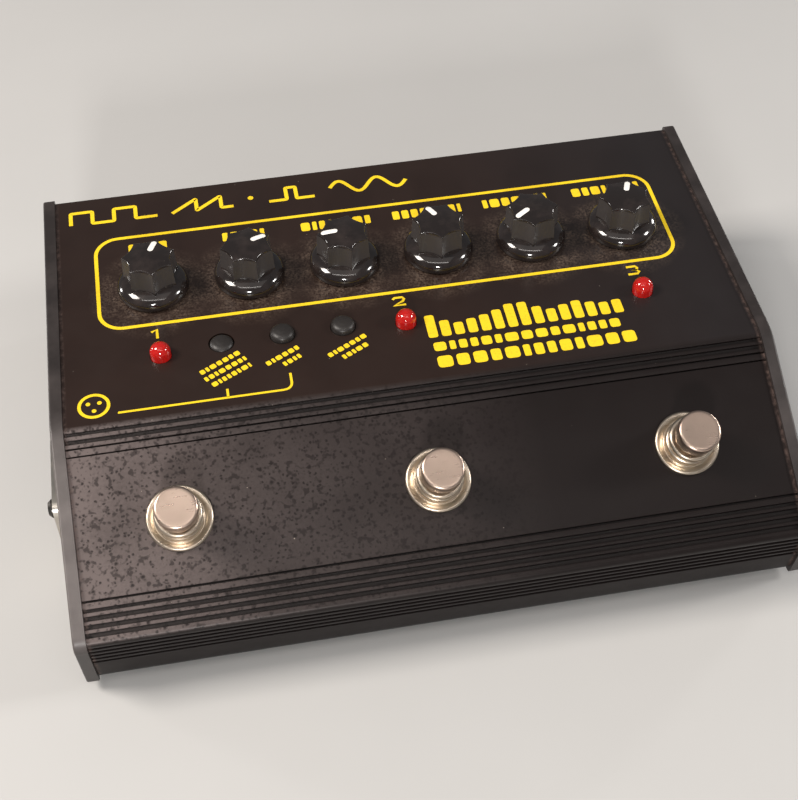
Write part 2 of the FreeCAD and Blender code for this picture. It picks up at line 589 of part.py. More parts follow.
def ribbon_cable():
    """Flat cable that bridges the main board and the foot board."""
    start_y = BREAK_Y + MAIN_BOARD_START
    top = BOARD_Z - RIBBON_T / 2
    down = FOOTSWITCH_ROW - FOOT_BOARD_DEPTH / 2
    depth = BOARD_T / 2 - TACT_BOTTOM
    end_y = BREAK_Y - down * math.cos(TILT) + depth * math.sin(TILT)
    end_z = TOP_Z - down * math.sin(TILT) - depth * math.cos(TILT)
    t = RIBBON_T
    line = [(start_y, top), (start_y - 6, top), (end_y + 3.0, end_z + 1.5 + t), (end_y + 0.2, end_z + 0.2 + t),
            (end_y + 0.2, end_z + 0.2), (end_y + 3.2, end_z + 1.3), (start_y - 5.6, top - t), (start_y, top - t)]
    face = Part.Face(Part.makePolygon([V(-RIBBON_HALF, y, z) for y, z in line + line[:1]]))
    return face.extrude(V(2 * RIBBON_HALF, 0, 0))


# ---- sockets ----------------------------------------------------------------------
def jack_socket(side):
    """A quarter-inch jack lying along X, with its threaded nose through the cheek."""
    face_x = side * SHELL_HALF
    inward = V(-side, 0, 0)
    x0 = min(face_x, face_x - side * JACK_BODY_LENGTH)
    half = JACK_BODY / 2
    body = box(x0, x0 + JACK_BODY_LENGTH, JACK_Y - half, JACK_Y + half, JACK_Z - half, JACK_Z + half)
    nose_x = side * (HALF_WIDTH + JACK_OUT)
    nose = rod(JACK_THREAD_R, CHEEK_T + JACK_OUT, V(nose_x, JACK_Y, JACK_Z), inward)
    depth = CHEEK_T + JACK_OUT + JACK_BODY_LENGTH - JACK_BACK_WALL
    bore = rod(JACK_BORE_R, depth, V(nose_x, JACK_Y, JACK_Z), inward)
    return body.fuse(nose).cut(bore)


def jack_nuts():
    nuts = []
    for side in (-1, 1):
        base = V(side * (HALF_WIDTH + JACK_WASHER_T), JACK_Y, JACK_Z)
        nut = hexagon(JACK_NUT_AF, JACK_NUT_H, base, V(side, 0, 0))
        nuts.append(nut.cut(rod(JACK_THREAD_R, 4, base, V(side, 0, 0))))
    return group(nuts)


def jack_washers():
    return group([tube(JACK_WASHER_R, JACK_THREAD_R, JACK_WASHER_T, V(side * HALF_WIDTH, JACK_Y, JACK_Z),
                       V(side, 0, 0)) for side in (-1, 1)])


def xlr_screw_spots():
    return [(XLR_Y - 9.5, XLR_Z + 12.0), (XLR_Y + 9.5, XLR_Z - 12.0)]


def xlr_shell():
    """Male three-pole chassis connector: a flange outside the cheek and a barrel inside."""
    x_out = -HALF_WIDTH - XLR_FLANGE_T
    flange = box(x_out, -HALF_WIDTH, XLR_Y - XLR_FLANGE_Y / 2, XLR_Y + XLR_FLANGE_Y / 2,
                 XLR_Z - XLR_FLANGE_Z / 2, XLR_Z + XLR_FLANGE_Z / 2)
    corners = [e for e in flange.Edges if abs(e.Length - XLR_FLANGE_T) < 0.01]
    flange = flange.makeFillet(3.0, corners)
    barrel = rod(XLR_BARREL_R, XLR_BARREL_LENGTH, V(-HALF_WIDTH - 0.1, XLR_Y, XLR_Z), X_AXIS)
    cavity = rod(XLR_CAVITY_R, XLR_BARREL_LENGTH + 10, V(x_out - 1, XLR_Y, XLR_Z), X_AXIS)
    holes = [rod(XLR_SCREW_HOLE_R, 6, V(x_out - 1, y, z), X_AXIS) for y, z in xlr_screw_spots()]
    return flange.fuse(barrel).cut([cavity] + holes)


def xlr_pin_spots():
    turns = [math.radians(a) for a in (0, 180, 270)]
    return [(XLR_Y + XLR_PIN_CIRCLE * math.cos(t), XLR_Z + XLR_PIN_CIRCLE * math.sin(t)) for t in turns]


def xlr_insert():
    start = -HALF_WIDTH - XLR_FLANGE_T + XLR_CAVITY_DEPTH
    disc = rod(XLR_CAVITY_R - 0.02, 7.0, V(start, XLR_Y, XLR_Z), X_AXIS)
    return disc.cut([rod(XLR_PIN_R, 12, V(start - 1, y, z), X_AXIS) for y, z in xlr_pin_spots()])


def xlr_pins():
    tip = -HALF_WIDTH - XLR_FLANGE_T + XLR_PIN_SET_BACK
    return group([rod(XLR_PIN_R, XLR_PIN_LENGTH, V(tip, y, z), X_AXIS) for y, z in xlr_pin_spots()])


def xlr_screws():
    screws = []
    for y, z in xlr_screw_spots():
        screw = pan_head_screw(2.5, 1.4, 1.2, 7.0)
        screw.rotate(V(0, 0, 0), Y_AXIS, 90)
        screws.append(moved(screw, -HALF_WIDTH - XLR_FLANGE_T, y, z))
    return group(screws)


def dc_socket():
    """Barrel-type power inlet behind the rear wall, its nose through a round hole."""
    inner_y = REAR_Y - SKIN
    half = DC_BODY / 2
    body = box(DC_X - half, DC_X + half, inner_y - DC_BODY_DEPTH, inner_y, DC_Z - half, DC_Z + half)
    nose = rod(DC_NOSE_R, SKIN, V(DC_X, inner_y, DC_Z), Y_AXIS)
    bore = rod(DC_BORE_R, DC_BORE_DEPTH + 1, V(DC_X, REAR_Y - DC_BORE_DEPTH, DC_Z), Y_AXIS)
    return body.fuse(nose).cut(bore)


def dc_pin():
    return rod(DC_PIN_R, DC_PIN_LENGTH, V(DC_X, REAR_Y - DC_BORE_DEPTH, DC_Z), Y_AXIS)


# ---- battery ----------------------------------------------------------------------
def hinge_lug(y0, grow):
    """Lug that carries one end of the door's hinge; grow makes the notch for it."""
    return box(TRAY_X0 - grow, TRAY_X0 + 2.4 + grow, y0 - grow, y0 + LUG_LENGTH + grow,
               BASE_BOTTOM_Z + 0.05 - grow, BASE_TOP_Z + 2.0 + grow)


def battery_tray():
    outer = box(TRAY_X0, TRAY_X1, TRAY_Y0, TRAY_Y1, BASE_TOP_Z, TRAY_TOP_Z)
    rim = box(TRAY_X0 - 2.5, TRAY_X1 + 2.5, TRAY_Y0 - LUG_LENGTH, TRAY_Y1 + LUG_LENGTH,
              BASE_TOP_Z, BASE_TOP_Z + 1.0)
    inner = box(TRAY_X0 + TRAY_WALL, TRAY_X1 - TRAY_WALL, TRAY_Y0 + TRAY_WALL, TRAY_Y1 - TRAY_WALL,
                BASE_TOP_Z - 1, TRAY_TOP_Z - TRAY_WALL)
    lugs = [hinge_lug(y0, 0.0) for y0 in (TRAY_Y0 - LUG_LENGTH, TRAY_Y1)]
    tray = outer.multiFuse([rim] + lugs).cut(inner)
    pin_start = V(HINGE_X, TRAY_Y0 - 2.3, HINGE_Z)
    pin_hole = rod(HINGE_PIN_R + RUNNING_GAP, TRAY_Y1 - TRAY_Y0 + 4.6, pin_start, Y_AXIS)
    lead_slot = box(TRAY_X1 - 3, TRAY_X1 + 1, 20, 30, TRAY_TOP_Z - 7, TRAY_TOP_Z - 3)
    door_relief = box(TRAY_X0 - 0.01, TRAY_X0 + 2.6, TRAY_Y0, TRAY_Y1, BASE_TOP_Z - 1, BASE_TOP_Z + 0.4)
    return tray.cut([pin_hole, lead_slot, door_relief])


def battery_door():
    x1 = TRAY_X1 - DOOR_GAP
    y0, y1 = TRAY_Y0 + DOOR_GAP, TRAY_Y1 - DOOR_GAP
    panel = box(HINGE_X, x1, y0, y1, BASE_BOTTOM_Z, BASE_TOP_Z)
    knuckle = rod(BASE_T / 2, y1 - y0, V(HINGE_X, y0, HINGE_Z), Y_AXIS)
    pins = rod(HINGE_PIN_R, y1 - y0 + 4.4, V(HINGE_X, y0 - 2.2, HINGE_Z), Y_AXIS)
    grips = [box(x1 - 9 + 2 * i, x1 - 8 + 2 * i, y0 + 9, y1 - 9, BASE_BOTTOM_Z - 1, BASE_BOTTOM_Z + 0.4)
             for i in range(4)]
    return panel.fuse(knuckle).fuse(pins).cut(grips)


def battery():
    """A 9 V block on its side, its two studs towards the clip."""
    mid_y, top = (TRAY_Y0 + TRAY_Y1) / 2, TRAY_TOP_Z - TRAY_WALL
    end_x = BATTERY_X0 + BATTERY_LENGTH
    body = box(BATTERY_X0, end_x, mid_y - BATTERY_WIDTH / 2, mid_y + BATTERY_WIDTH / 2, top - BATTERY_H, top)
    body = body.makeFillet(2.0, [e for e in body.Edges if abs(e.Length - BATTERY_LENGTH) < 0.01])
    studs = [rod(r, BATTERY_STUD_H, V(end_x, mid_y + y, top - BATTERY_H / 2), X_AXIS)
             for r, y in ((2.9, -6.3), (4.0, 6.4))]
    return body.multiFuse(studs)


def battery_clip():
    """Snap plate over the battery's studs, with its two leads out through the tray's slot."""
    x0, thick, mid_y = BATTERY_X0 + BATTERY_LENGTH + BATTERY_STUD_H, 2.7, (TRAY_Y0 + TRAY_Y1) / 2
    plate = box(x0, x0 + thick, mid_y - 12.5, mid_y + 12.5, 10.8, 23.4)
    plate = plate.makeFillet(4.0, [e for e in plate.Edges if abs(e.Length - thick) < 0.01])
    leads = [rod(0.7, 9.0, V(x0 + thick / 2, y, 22.4), X_AXIS) for y in (mid_y - 2, mid_y + 2)]
    return fused([plate] + leads)


def main():
    os.makedirs("parts", exist_ok=True)
    parts = {
        "top_shell": top_shell(), "left_cheek": left_cheek(), "right_cheek": right_cheek(),
        "cheek_screws": cheek_screws(), "base_plate": base_plate(), "base_screws": base_screws(),
        "rubber_feet": feet(), "pot_bodies": pot_bodies(), "pot_nuts": pot_nuts(),
        "footswitch_bushings": footswitch_bushings(), "footswitch_nuts": footswitch_nuts(),
        "tact_switches": tact_switches(), "foot_board": foot_board(), "channel_lamps": lamps(),
        "lamp_spacers": lamp_spacers(), "push_switches": push_switches(), "main_board": main_board(),
        "board_standoffs": standoffs(), "board_screws": board_screws(), "board_chips": board_chips(),
        "ribbon_cable": ribbon_cable(), "input_jack": jack_socket(1), "output_jack": jack_socket(-1),
        "jack_nuts": jack_nuts(), "jack_washers": jack_washers(), "xlr_shell": xlr_shell(),
        "xlr_insert": xlr_insert(), "xlr_pins": xlr_pins(), "xlr_screws": xlr_screws(),
        "dc_socket": dc_socket(), "dc_pin": dc_pin(), "battery_tray": battery_tray(),
        "battery_door": battery_door(), "battery": battery(), "battery_clip": battery_clip(),
    }
    for i, (x, bearing) in enumerate(zip(KNOB_XS, POINTER_BEARINGS), start=1):
        parts["knob_%d" % i] = knob(x, bearing)
        parts["knob_shaft_%d" % i] = knob_shaft(x)
    for i, x in enumerate(CHANNEL_XS, start=1):
        parts["footswitch_cap_%d" % i] = footswitch_cap(x)
        parts["footswitch_clip_%d" % i] = footswitch_clip(x)
        parts["push_button_%d" % i] = push_button(i - 1)
    for name, shape in parts.items():
        save(name, shape)


main()
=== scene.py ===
"""Looks of the three-channel bass preamp and direct injection box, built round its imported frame.

Axes are the frame's: +Z up, the player's side towards -Y. Sizes in this file are millimetres,
and each finished mesh is scaled to metres by MM.
"""

import json
import math

import bmesh
import bpy
from mathutils import Matrix, Vector


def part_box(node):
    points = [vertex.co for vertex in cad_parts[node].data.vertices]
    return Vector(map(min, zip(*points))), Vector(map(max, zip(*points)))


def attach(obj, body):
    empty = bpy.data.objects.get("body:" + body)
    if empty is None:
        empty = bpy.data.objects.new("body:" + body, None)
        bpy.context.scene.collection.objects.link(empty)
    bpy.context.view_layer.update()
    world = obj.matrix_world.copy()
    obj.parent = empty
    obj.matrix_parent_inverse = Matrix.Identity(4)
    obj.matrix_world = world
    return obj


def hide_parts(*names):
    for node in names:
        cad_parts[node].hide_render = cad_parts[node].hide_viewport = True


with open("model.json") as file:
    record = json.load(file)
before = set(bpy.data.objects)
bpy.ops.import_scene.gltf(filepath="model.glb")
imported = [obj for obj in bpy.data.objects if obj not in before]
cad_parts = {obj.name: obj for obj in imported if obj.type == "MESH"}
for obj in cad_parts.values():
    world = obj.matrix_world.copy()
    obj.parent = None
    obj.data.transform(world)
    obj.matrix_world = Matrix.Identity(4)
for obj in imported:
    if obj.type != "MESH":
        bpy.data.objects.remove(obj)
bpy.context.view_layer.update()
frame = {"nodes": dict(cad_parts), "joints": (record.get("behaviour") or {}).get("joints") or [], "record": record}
NODES = frame["nodes"]

MM = 0.001

# ---- places taken from the frame ----------------------------------------------------


def node_box(node):
    """Lowest and highest corner of a CAD node, in millimetres."""
    low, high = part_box(node)
    return low / MM, high / MM


def joint(name):
    """A joint's row, with its place in metres and its axis."""
    return next(j for j in frame["joints"] if j["name"] == name)


SHELL_LOW, SHELL_HIGH = node_box("top_shell")
SHELL_HALF = SHELL_HIGH.x
TOP_Z = SHELL_HIGH.z
REAR_Y = SHELL_HIGH.y
BOTTOM_Z = SHELL_LOW.z
CONTROL_LENGTH = 90.0
FOOT_LENGTH = 57.1
BREAK_Y = REAR_Y - CONTROL_LENGTH
FOOT_AXIS = Vector(joint("footswitch_1_press")["axis"])
TILT = math.atan2(FOOT_AXIS.y, -FOOT_AXIS.z)
KNOB_SPOTS = [Vector(joint("knob_%d_turn" % i)["pos_m"]) / MM for i in range(1, 7)]
CHANNEL_XS = [sum(c.x for c in node_box("footswitch_cap_%d" % i)) / 2 for i in range(1, 4)]
BUTTON_BOXES = [node_box("push_button_%d" % i) for i in range(1, 4)]
LAMP_Y = sum(corner.y for corner in node_box("channel_lamps")) / 2
DC_LOW, DC_HIGH = node_box("dc_socket")
DC_CENTRE = (DC_LOW + DC_HIGH) / 2

# ---- sizes of what is modelled here ---------------------------------------------------
SKIN = 2.2
WALL_LEAN = math.radians(9.6)
NOSE_R = 1.6
BREAK_EASE = 0.7
REAR_EDGE_R = 0.8
CHEEK_EDGE_R = 0.6
FRONT_LIP, REAR_LIP = 15.0, 14.2
GROOVE_DEPTH = 0.8
GROOVE_LIP = 0.16
GROOVE_DRAFT = 0.06
RIB_PITCH = 2.12
RIB_GROOVE = 1.25
BREAK_GROOVES = [(1.5, 1.0), (3.5, 1.2), (5.7, 0.5), (7.9, 0.4)]     # (below the break, width)
NOSE_GROOVES = [(45.7, 0.6), (47.9, 0.95)] + [(49.75 + RIB_PITCH * i, RIB_GROOVE) for i in range(3)]
WALL_GROOVES = [(1.9 + RIB_PITCH * i, RIB_GROOVE) for i in range(5)]    # (below the nose, width)

HOLE_REACH = 4.0             # how far a cutting rod stands out each side of the skin
BUSHING_HOLE_R = 3.6
DC_HOLE_R = 4.6
LAMP_CLEARANCE = 0.15
SWITCH_CLEARANCE = 0.2

POINTER_BEARINGS = [68.5, 27.0, 175.5, 112.0, 209.0, 69.0]
POINTER_START, POINTER_END, POINTER_HALF = 1.6, 6.3, 0.78
POINTER_SINK, POINTER_EDGE, POINTER_TOP = -0.3, 0.02, 0.07     # above the crown
POINTER_STEPS = 28
KNOB_LOBES = 7
KNOB_STEPS_PER_LOBE = 26
KNOB_FLUTE_R = 6.9
KNOB_FLUTE_FLOOR = 6.0
KNOB_LOBE_R = 7.6
KNOB_LOBE_BLEND = 0.22
KNOB_FLARE = 0.05            # how much wider the grip is at its foot, as a share
KNOB_SKIRT_R = 10.1
KNOB_SKIRT_EDGE = 1.7
KNOB_SKIRT_TOP = 4.9
KNOB_DOME_STEPS = 22
KNOB_NECK_R = 5.6
KNOB_RECESS_R, KNOB_RECESS_TOP = 6.4, 3.4
KNOB_BORE_R = 3.0
KNOB_GAP = 0.6
KNOB_RIM_H = 12.0
KNOB_RIM_R = 0.42
KNOB_CROWN = 1.1

FOOTSWITCH_ROW = 28.1        # below the break
BARREL_R = 6.0
PLUNGER_R, PLUNGER_NECK_R = 3.95, 3.1
CAP_R, CAP_FOOT, CAP_TOP = 5.6, 9.2, 14.3
LAMP_R, LAMP_FLANGE_R = 2.9, 3.3
LAMP_FOOT_Z, LAMP_FLANGE_TOP_Z, LAMP_SHOULDER_Z = 46.0, 47.0, 51.3
LAMP_DOME_STEPS = 16
BUTTON_R, BUTTON_COLLAR_R, BUTTON_STEM_R = 3.4, 4.2, 1.5
BUTTON_STEM_H, BUTTON_COLLAR_TOP = 1.5, 3.0                    # above the stem's foot

INK_LOW, INK_HIGH = -0.03, 0.035
FRAME_LINE, TRACE_LINE, SIGN_LINE, FIGURE_LINE, THIN_LINE = 1.08, 1.15, 0.9, 0.78, 0.68
FIGURE_FOOT = 28.4
FIGURE_XS = (-68.7, -0.5, 67.7)

FLOOR_HALF = 3.0                                               # metres
CAMERA_FROM_BREAK = Vector((-49.2, -255.8, 290.2))
CAMERA_FORWARD = Vector((0.1097, 0.6480, -0.7537))
CAMERA_UP = Vector((0.1384, 0.7410, 0.6572))
CAMERA_LENS, CAMERA_SENSOR = 65.34, 36.0

CONTROL = Matrix.Translation((0, BREAK_Y, TOP_Z))            # x, distance behind the break, height
FOOT = CONTROL @ Matrix.Rotation(TILT, 4, "X")               # x, minus distance below the break, height


# ---- mesh helpers ---------------------------------------------------------------------
def piece(name, points, faces, paint, body="chassis", at=None, sharp=35.0):
    """A mesh object from millimetre points, painted, shaded smooth by angle and set on its body."""
    mesh = bpy.data.meshes.new(name)
    mesh.from_pydata([tuple(p) for p in points], [], faces)
    mesh.transform(Matrix.Scale(MM, 4) @ (at or Matrix.Identity(4)))
    obj = bpy.data.objects.new(name, mesh)
    bpy.context.scene.collection.objects.link(obj)
    finish_mesh(obj, paint, sharp)
    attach(obj, body)
    return obj


def finish_mesh(obj, paint, sharp=35.0):
    """One welded, outward-facing mesh, smooth except at edges sharper than the angle."""
    grid = bmesh.new()
    grid.from_mesh(obj.data)
    bmesh.ops.remove_doubles(grid, verts=grid.verts, dist=2e-7)
    bmesh.ops.recalc_face_normals(grid, faces=grid.faces)
    grid.to_mesh(obj.data)
    grid.free()
    obj.data.shade_smooth()
    obj.data.set_sharp_from_angle(angle=math.radians(sharp))
    obj.data.materials.clear()
    obj.data.materials.append(paint)


def soften(points, cut, steps=4, closed=False):
    """The polyline with each corner rounded off, starting at most cut before it."""
    count = len(points)
    out = []
    for i, p in enumerate(points):
        if not closed and i in (0, count - 1):
            out.append(Vector(p))
            continue
        p = Vector(p)
        before, after = Vector(points[i - 1]) - p, Vector(points[(i + 1) % count]) - p
        start = p + before.normalized() * min(cut, before.length * 0.45)
        end = p + after.normalized() * min(cut, after.length * 0.45)
        for k in range(steps + 1):
            t = k / steps
            out.append(start * (1 - t) ** 2 + p * 2 * t * (1 - t) + end * t ** 2)
    return out


def lathe(name, outline, paint, body="chassis", spots=(Matrix.Identity(4),), turns=96, sharp=35.0):
    """A solid of revolution about local Z from (radius, height) points, once at each spot."""
    points, faces = [], []
    rings = len(outline)
    for spot in spots:
        base = len(points)
        for k in range(turns):
            a = 2 * math.pi * k / turns
            points += [spot @ Vector((r * math.cos(a), r * math.sin(a), h)) for r, h in outline]
        for k in range(turns):
            here, there = base + k * rings, base + (k + 1) % turns * rings
            faces += [(here + i, there + i, there + i + 1, here + i + 1) for i in range(rings - 1)]
            if outline[0][0] > 0 or outline[-1][0] > 0:
                faces.append((here + rings - 1, there + rings - 1, there, here))
    return piece(name, points, faces, paint, body, sharp=sharp)


def prism(outline, low, high, turn=None):
    """Points and faces of a flat plate with the given outline between two heights."""
    turn = turn or Matrix.Identity(4)
    count = len(outline)
    points = [turn @ Vector((x, y, z)) for z in (low, high) for x, y in outline]
    faces = [tuple(range(count))[::-1], tuple(range(count, 2 * count))]
    faces += [(i, (i + 1) % count, count + (i + 1) % count, count + i) for i in range(count)]
    return points, faces


def joined(parts):
    """Several (points, faces) pairs as one."""
    points, faces = [], []
    for part_points, part_faces in parts:
        base = len(points)
        points += part_points
        faces += [tuple(base + i for i in face) for face in part_faces]
    return points, faces


# ---- materials ------------------------------------------------------------------------
class Paint:
    """A Principled material whose textures run in the object's own millimetres."""

    def __init__(self, name, **sockets):
        self.material = bpy.data.materials.new(name)
        self.material.use_nodes = True
        self.tree = self.material.node_tree
        self.shader = self.tree.nodes["Principled BSDF"]
        for socket, value in sockets.items():
            self.shader.inputs[socket.replace("_", " ")].default_value = value
        place = self.node("ShaderNodeTexCoord").outputs["Object"]
        self.point = self.scaled(place, 1 / MM)
        split = self.node("ShaderNodeSeparateXYZ", Vector=self.point)
        self.x, self.y, self.z = split.outputs

    def node(self, kind, **values):
        """A node with its settings, plain inputs and links given by name."""
        node = self.tree.nodes.new(kind)
        for key, value in values.items():
            if key[0].islower():
                setattr(node, key, value)
                continue
            socket = node.inputs[int(key[1:])] if key[1:].isdigit() else node.inputs[key.replace("_", " ")]
            if isinstance(value, bpy.types.NodeSocket):
                self.tree.links.new(value, socket)
            else:
                socket.default_value = value
        return node

    def scaled(self, vector, factor):
        """A vector socket's value times a number."""
        return self.node("ShaderNodeVectorMath", operation="SCALE", Vector=vector, Scale=factor).outputs[0]

    def set(self, socket, value):
        """The shader's named socket fed from a node."""
        self.tree.links.new(value, self.shader.inputs[socket])

    def stretched(self, x, y, z):
        """The point with each axis scaled, for grain that runs one way."""
        return self.node("ShaderNodeVectorMath", operation="MULTIPLY", A0=self.point, A1=(x, y, z)).outputs[0]

    def noise(self, size, detail=3.0, rough=0.55, point=None):
        """Cloudy noise, about size across."""
        return self.node("ShaderNodeTexNoise", Vector=point or self.point, Scale=1 / size, Detail=detail,
                         Roughness=rough).outputs["Fac"]

    def spots(self, pitch, radius, keep=1.0, soft=0.35, point=None):
        """1 in round spots of a given radius, one to a cell, in a share of the cells."""
        cells = self.node("ShaderNodeTexVoronoi", Vector=point or self.point, Scale=1 / pitch)
        chance = self.node("ShaderNodeSeparateColor", A0=cells.outputs["Color"])
        near = self.between(cells.outputs["Distance"], radius / pitch, radius / pitch * (1 - soft))
        return self.calc("MULTIPLY", near, self.calc("LESS_THAN", chance.outputs[0], keep))

    def between(self, value, low, high, to_low=0.0, to_high=1.0):
        """value mapped from low..high to to_low..to_high, and held there."""
        return self.node("ShaderNodeMapRange", A0=value, A1=low, A2=high, A3=to_low, A4=to_high).outputs[0]

    def calc(self, operation, a, b=0.0):
        """One step of arithmetic on sockets or numbers."""
        return self.node("ShaderNodeMath", operation=operation, A0=a, A1=b).outputs[0]

    def mix(self, share, a, b):
        """Colour a turning to colour b by share."""
        colours = [(*c, 1.0) if isinstance(c, tuple) else c for c in (a, b)]
        return self.node("ShaderNodeMix", data_type="RGBA", A0=share, A6=colours[0], A7=colours[1]).outputs[2]

    def bump(self, height, depth, strength=1.0):
        """Relief of the given depth."""
        node = self.node("ShaderNodeBump", Height=height, Distance=depth * MM, Strength=strength)
        self.set("Normal", node.outputs[0])


def case_paint():
    """Satin black on aluminium: a painted grey sheen on the foot face, lighter to the left and broken by dark
    spots, painted shade in its grooves, brown mottling about the knobs, painted highlights along the ends and a
    few pale specks."""
    p = Paint("case_black")
    p.set("Specular IOR Level", p.between(p.y, BREAK_Y + 0.5, BREAK_Y - 0.5, 0.42, 0.2))
    cloud = p.noise(22.0, 4.0)
    fine = p.noise(0.8, 4.0, 0.65)
    wander = p.node("ShaderNodeTexNoise", Vector=p.point, Scale=1.1, Detail=2.0).outputs["Color"]
    wander = p.scaled(wander, 0.9)
    bent_point = p.node("ShaderNodeVectorMath", operation="ADD", A0=p.point, A1=wander).outputs[0]
    base = p.mix(cloud, (0.0150, 0.0080, 0.0060), (0.027, 0.0148, 0.0112))
    base = p.mix(p.between(p.x, 15.0, 85.0), base, (0.0165, 0.0130, 0.0130))
    foot_face = p.calc("MULTIPLY", p.between(p.y, BREAK_Y + 0.2, BREAK_Y - 1.2), p.between(p.z, 24.3, 25.0))
    far_left = p.between(p.x, -48.0, -96.0)
    middle = p.between(p.x, 30.0, -55.0)
    leftness = p.calc("ADD", p.calc("MULTIPLY", far_left, 0.78), p.calc("MULTIPLY", middle, 0.33))
    # Painted sheen: a pale grey painted over the foot face, stronger towards the left and broken by dark spots.
    painted_sheen = p.calc("MULTIPLY", foot_face, p.calc("MULTIPLY", leftness, p.between(cloud, 0.3, 0.65, 0.6, 1.0)))
    blots = p.between(p.noise(1.5, 1.5), 0.54, 0.66, 0.0, 0.75)
    wet = p.calc("MAXIMUM", blots, p.spots(1.45, 0.5, 0.8, 0.65, bent_point))
    wet = p.calc("MAXIMUM", wet, p.spots(3.3, 0.8, 0.4, 0.6, bent_point))
    painted_sheen = p.calc("MULTIPLY", painted_sheen, p.between(wet, 0.0, 1.0, 1.2, 0.14))
    # Painted shade: the groove floors get a darker base colour and a dimmed sheen.
    groove_shade = p.calc("MULTIPLY", p.between(above_foot(p), -0.12, -0.4), foot_face)
    painted_sheen = p.calc("MULTIPLY", painted_sheen, p.between(groove_shade, 0.0, 1.0, 1.0, 0.16))
    base = p.mix(p.between(p.y, BREAK_Y + 0.2, BREAK_Y - 1.2), base, (0.0085, 0.0056, 0.0053))
    base = p.mix(groove_shade, base, (0.006, 0.0042, 0.004))
    painted_sheen = p.calc("MULTIPLY", painted_sheen, p.between(fine, 0.3, 0.65, 0.8, 1.05))
    # The painted sheen's pale grey laid over the base colour.
    colour = p.mix(painted_sheen, base, (0.135, 0.108, 0.103))
    # Brown grainy mottling close round each knob, where the surface is also rougher.
    browned = brown_round_knobs(p)
    colour = p.mix(browned, colour, (0.19, 0.135, 0.10))
    # Painted highlight: a ragged light brown band along both ends of the case, where its edges catch the light.
    edge = p.calc("MULTIPLY", p.between(p.calc("ABSOLUTE", p.x), SHELL_HALF - 1.2, SHELL_HALF - 0.5),
                  p.between(p.noise(1.6, 5.0, 0.7), 0.45, 0.65, 0.15, 1.0))
    colour = p.mix(p.calc("MULTIPLY", edge, 0.55), colour, (0.17, 0.115, 0.098))
    specks = p.calc("MAXIMUM", p.spots(4.6, 0.13, 0.4, 0.6), p.spots(14.0, 0.28, 0.4, 0.6))
    colour = p.mix(p.calc("MULTIPLY", specks, 0.75), colour, (0.5, 0.43, 0.36))
    p.set("Base Color", colour)
    rough = p.between(p.noise(9.0, 5.0), 0.3, 0.7, 0.29, 0.38)
    rough = p.calc("ADD", rough, p.calc("MULTIPLY", p.between(p.y, BREAK_Y, BREAK_Y - 3.0), 0.07))
    p.set("Roughness", p.calc("ADD", rough, p.calc("MULTIPLY", browned, 0.4)))
    p.bump(p.calc("ADD", p.noise(0.35, 2.0), p.calc("MULTIPLY", specks, 3.0)), 0.012, 0.6)
    return p.material


def above_foot(p):
    """Height above the plane of the sloping foot face."""
    return p.calc("SUBTRACT", p.calc("MULTIPLY", p.calc("SUBTRACT", p.z, TOP_Z), math.cos(TILT)),
                  p.calc("MULTIPLY", p.calc("SUBTRACT", p.y, BREAK_Y), math.sin(TILT)))


def brown_round_knobs(p):
    """Share of a fine brown grainy mottle, close round each knob."""
    share = None
    for spot in KNOB_SPOTS:
        centre = (spot.x, spot.y - 1.5, TOP_Z)
        off = p.node("ShaderNodeVectorMath", operation="DISTANCE", A0=p.point, A1=centre)
        near = p.between(off.outputs["Value"], 19.0, 10.0)
        share = near if share is None else p.calc("MAXIMUM", share, near)
    grains = p.between(p.noise(0.7, 5.0, 0.75), 0.42, 0.72)
    swirls = p.between(p.noise(5.0, 3.0), 0.38, 0.62, 0.25, 1.0)
    return p.calc("MULTIPLY", share, p.calc("MULTIPLY", grains, swirls))


def cheek_paint():
    """Satin black plate, faintly grained along its length, with rubbed patches, dust and a painted sheen on the
    left plate's edge beside the foot face.
    """
    p = Paint("cheek_black", Specular_IOR_Level=0.5)
    rubbed = p.between(p.noise(13.0, 5.0), 0.42, 0.72)
    colour = p.mix(rubbed, (0.022, 0.0175, 0.0165), (0.045, 0.036, 0.034))
    # Painted sheen: a paler patch on the left cheek's edge beside the foot face, standing in for light reflected
    # there.
    pale_patch = p.calc("MULTIPLY", p.between(p.x, -94.0, -95.0), p.between(p.y, BREAK_Y + 6.0, BREAK_Y - 12.0))
    pale_patch = p.calc("MULTIPLY", pale_patch, p.between(p.z, 21.5, 27.5))
    pale_patch = p.calc("MULTIPLY", pale_patch, p.between(rubbed, 0.0, 1.0, 0.6, 1.0))
    colour = p.mix(pale_patch, colour, (0.15, 0.13, 0.125))
    specks = p.spots(6.0, 0.16, 0.35, 0.6)
    p.set("Base Color", p.mix(p.calc("MULTIPLY", specks, 0.6), colour, (0.4, 0.35, 0.3)))
    grain = p.noise(0.5, 3.0, 0.6, p.stretched(1.0, 0.12, 1.0))
    p.set("Roughness", p.between(p.calc("ADD", grain, rubbed), 0.3, 1.5, 0.36, 0.5))
    p.bump(grain, 0.01, 0.6)
    return p.material


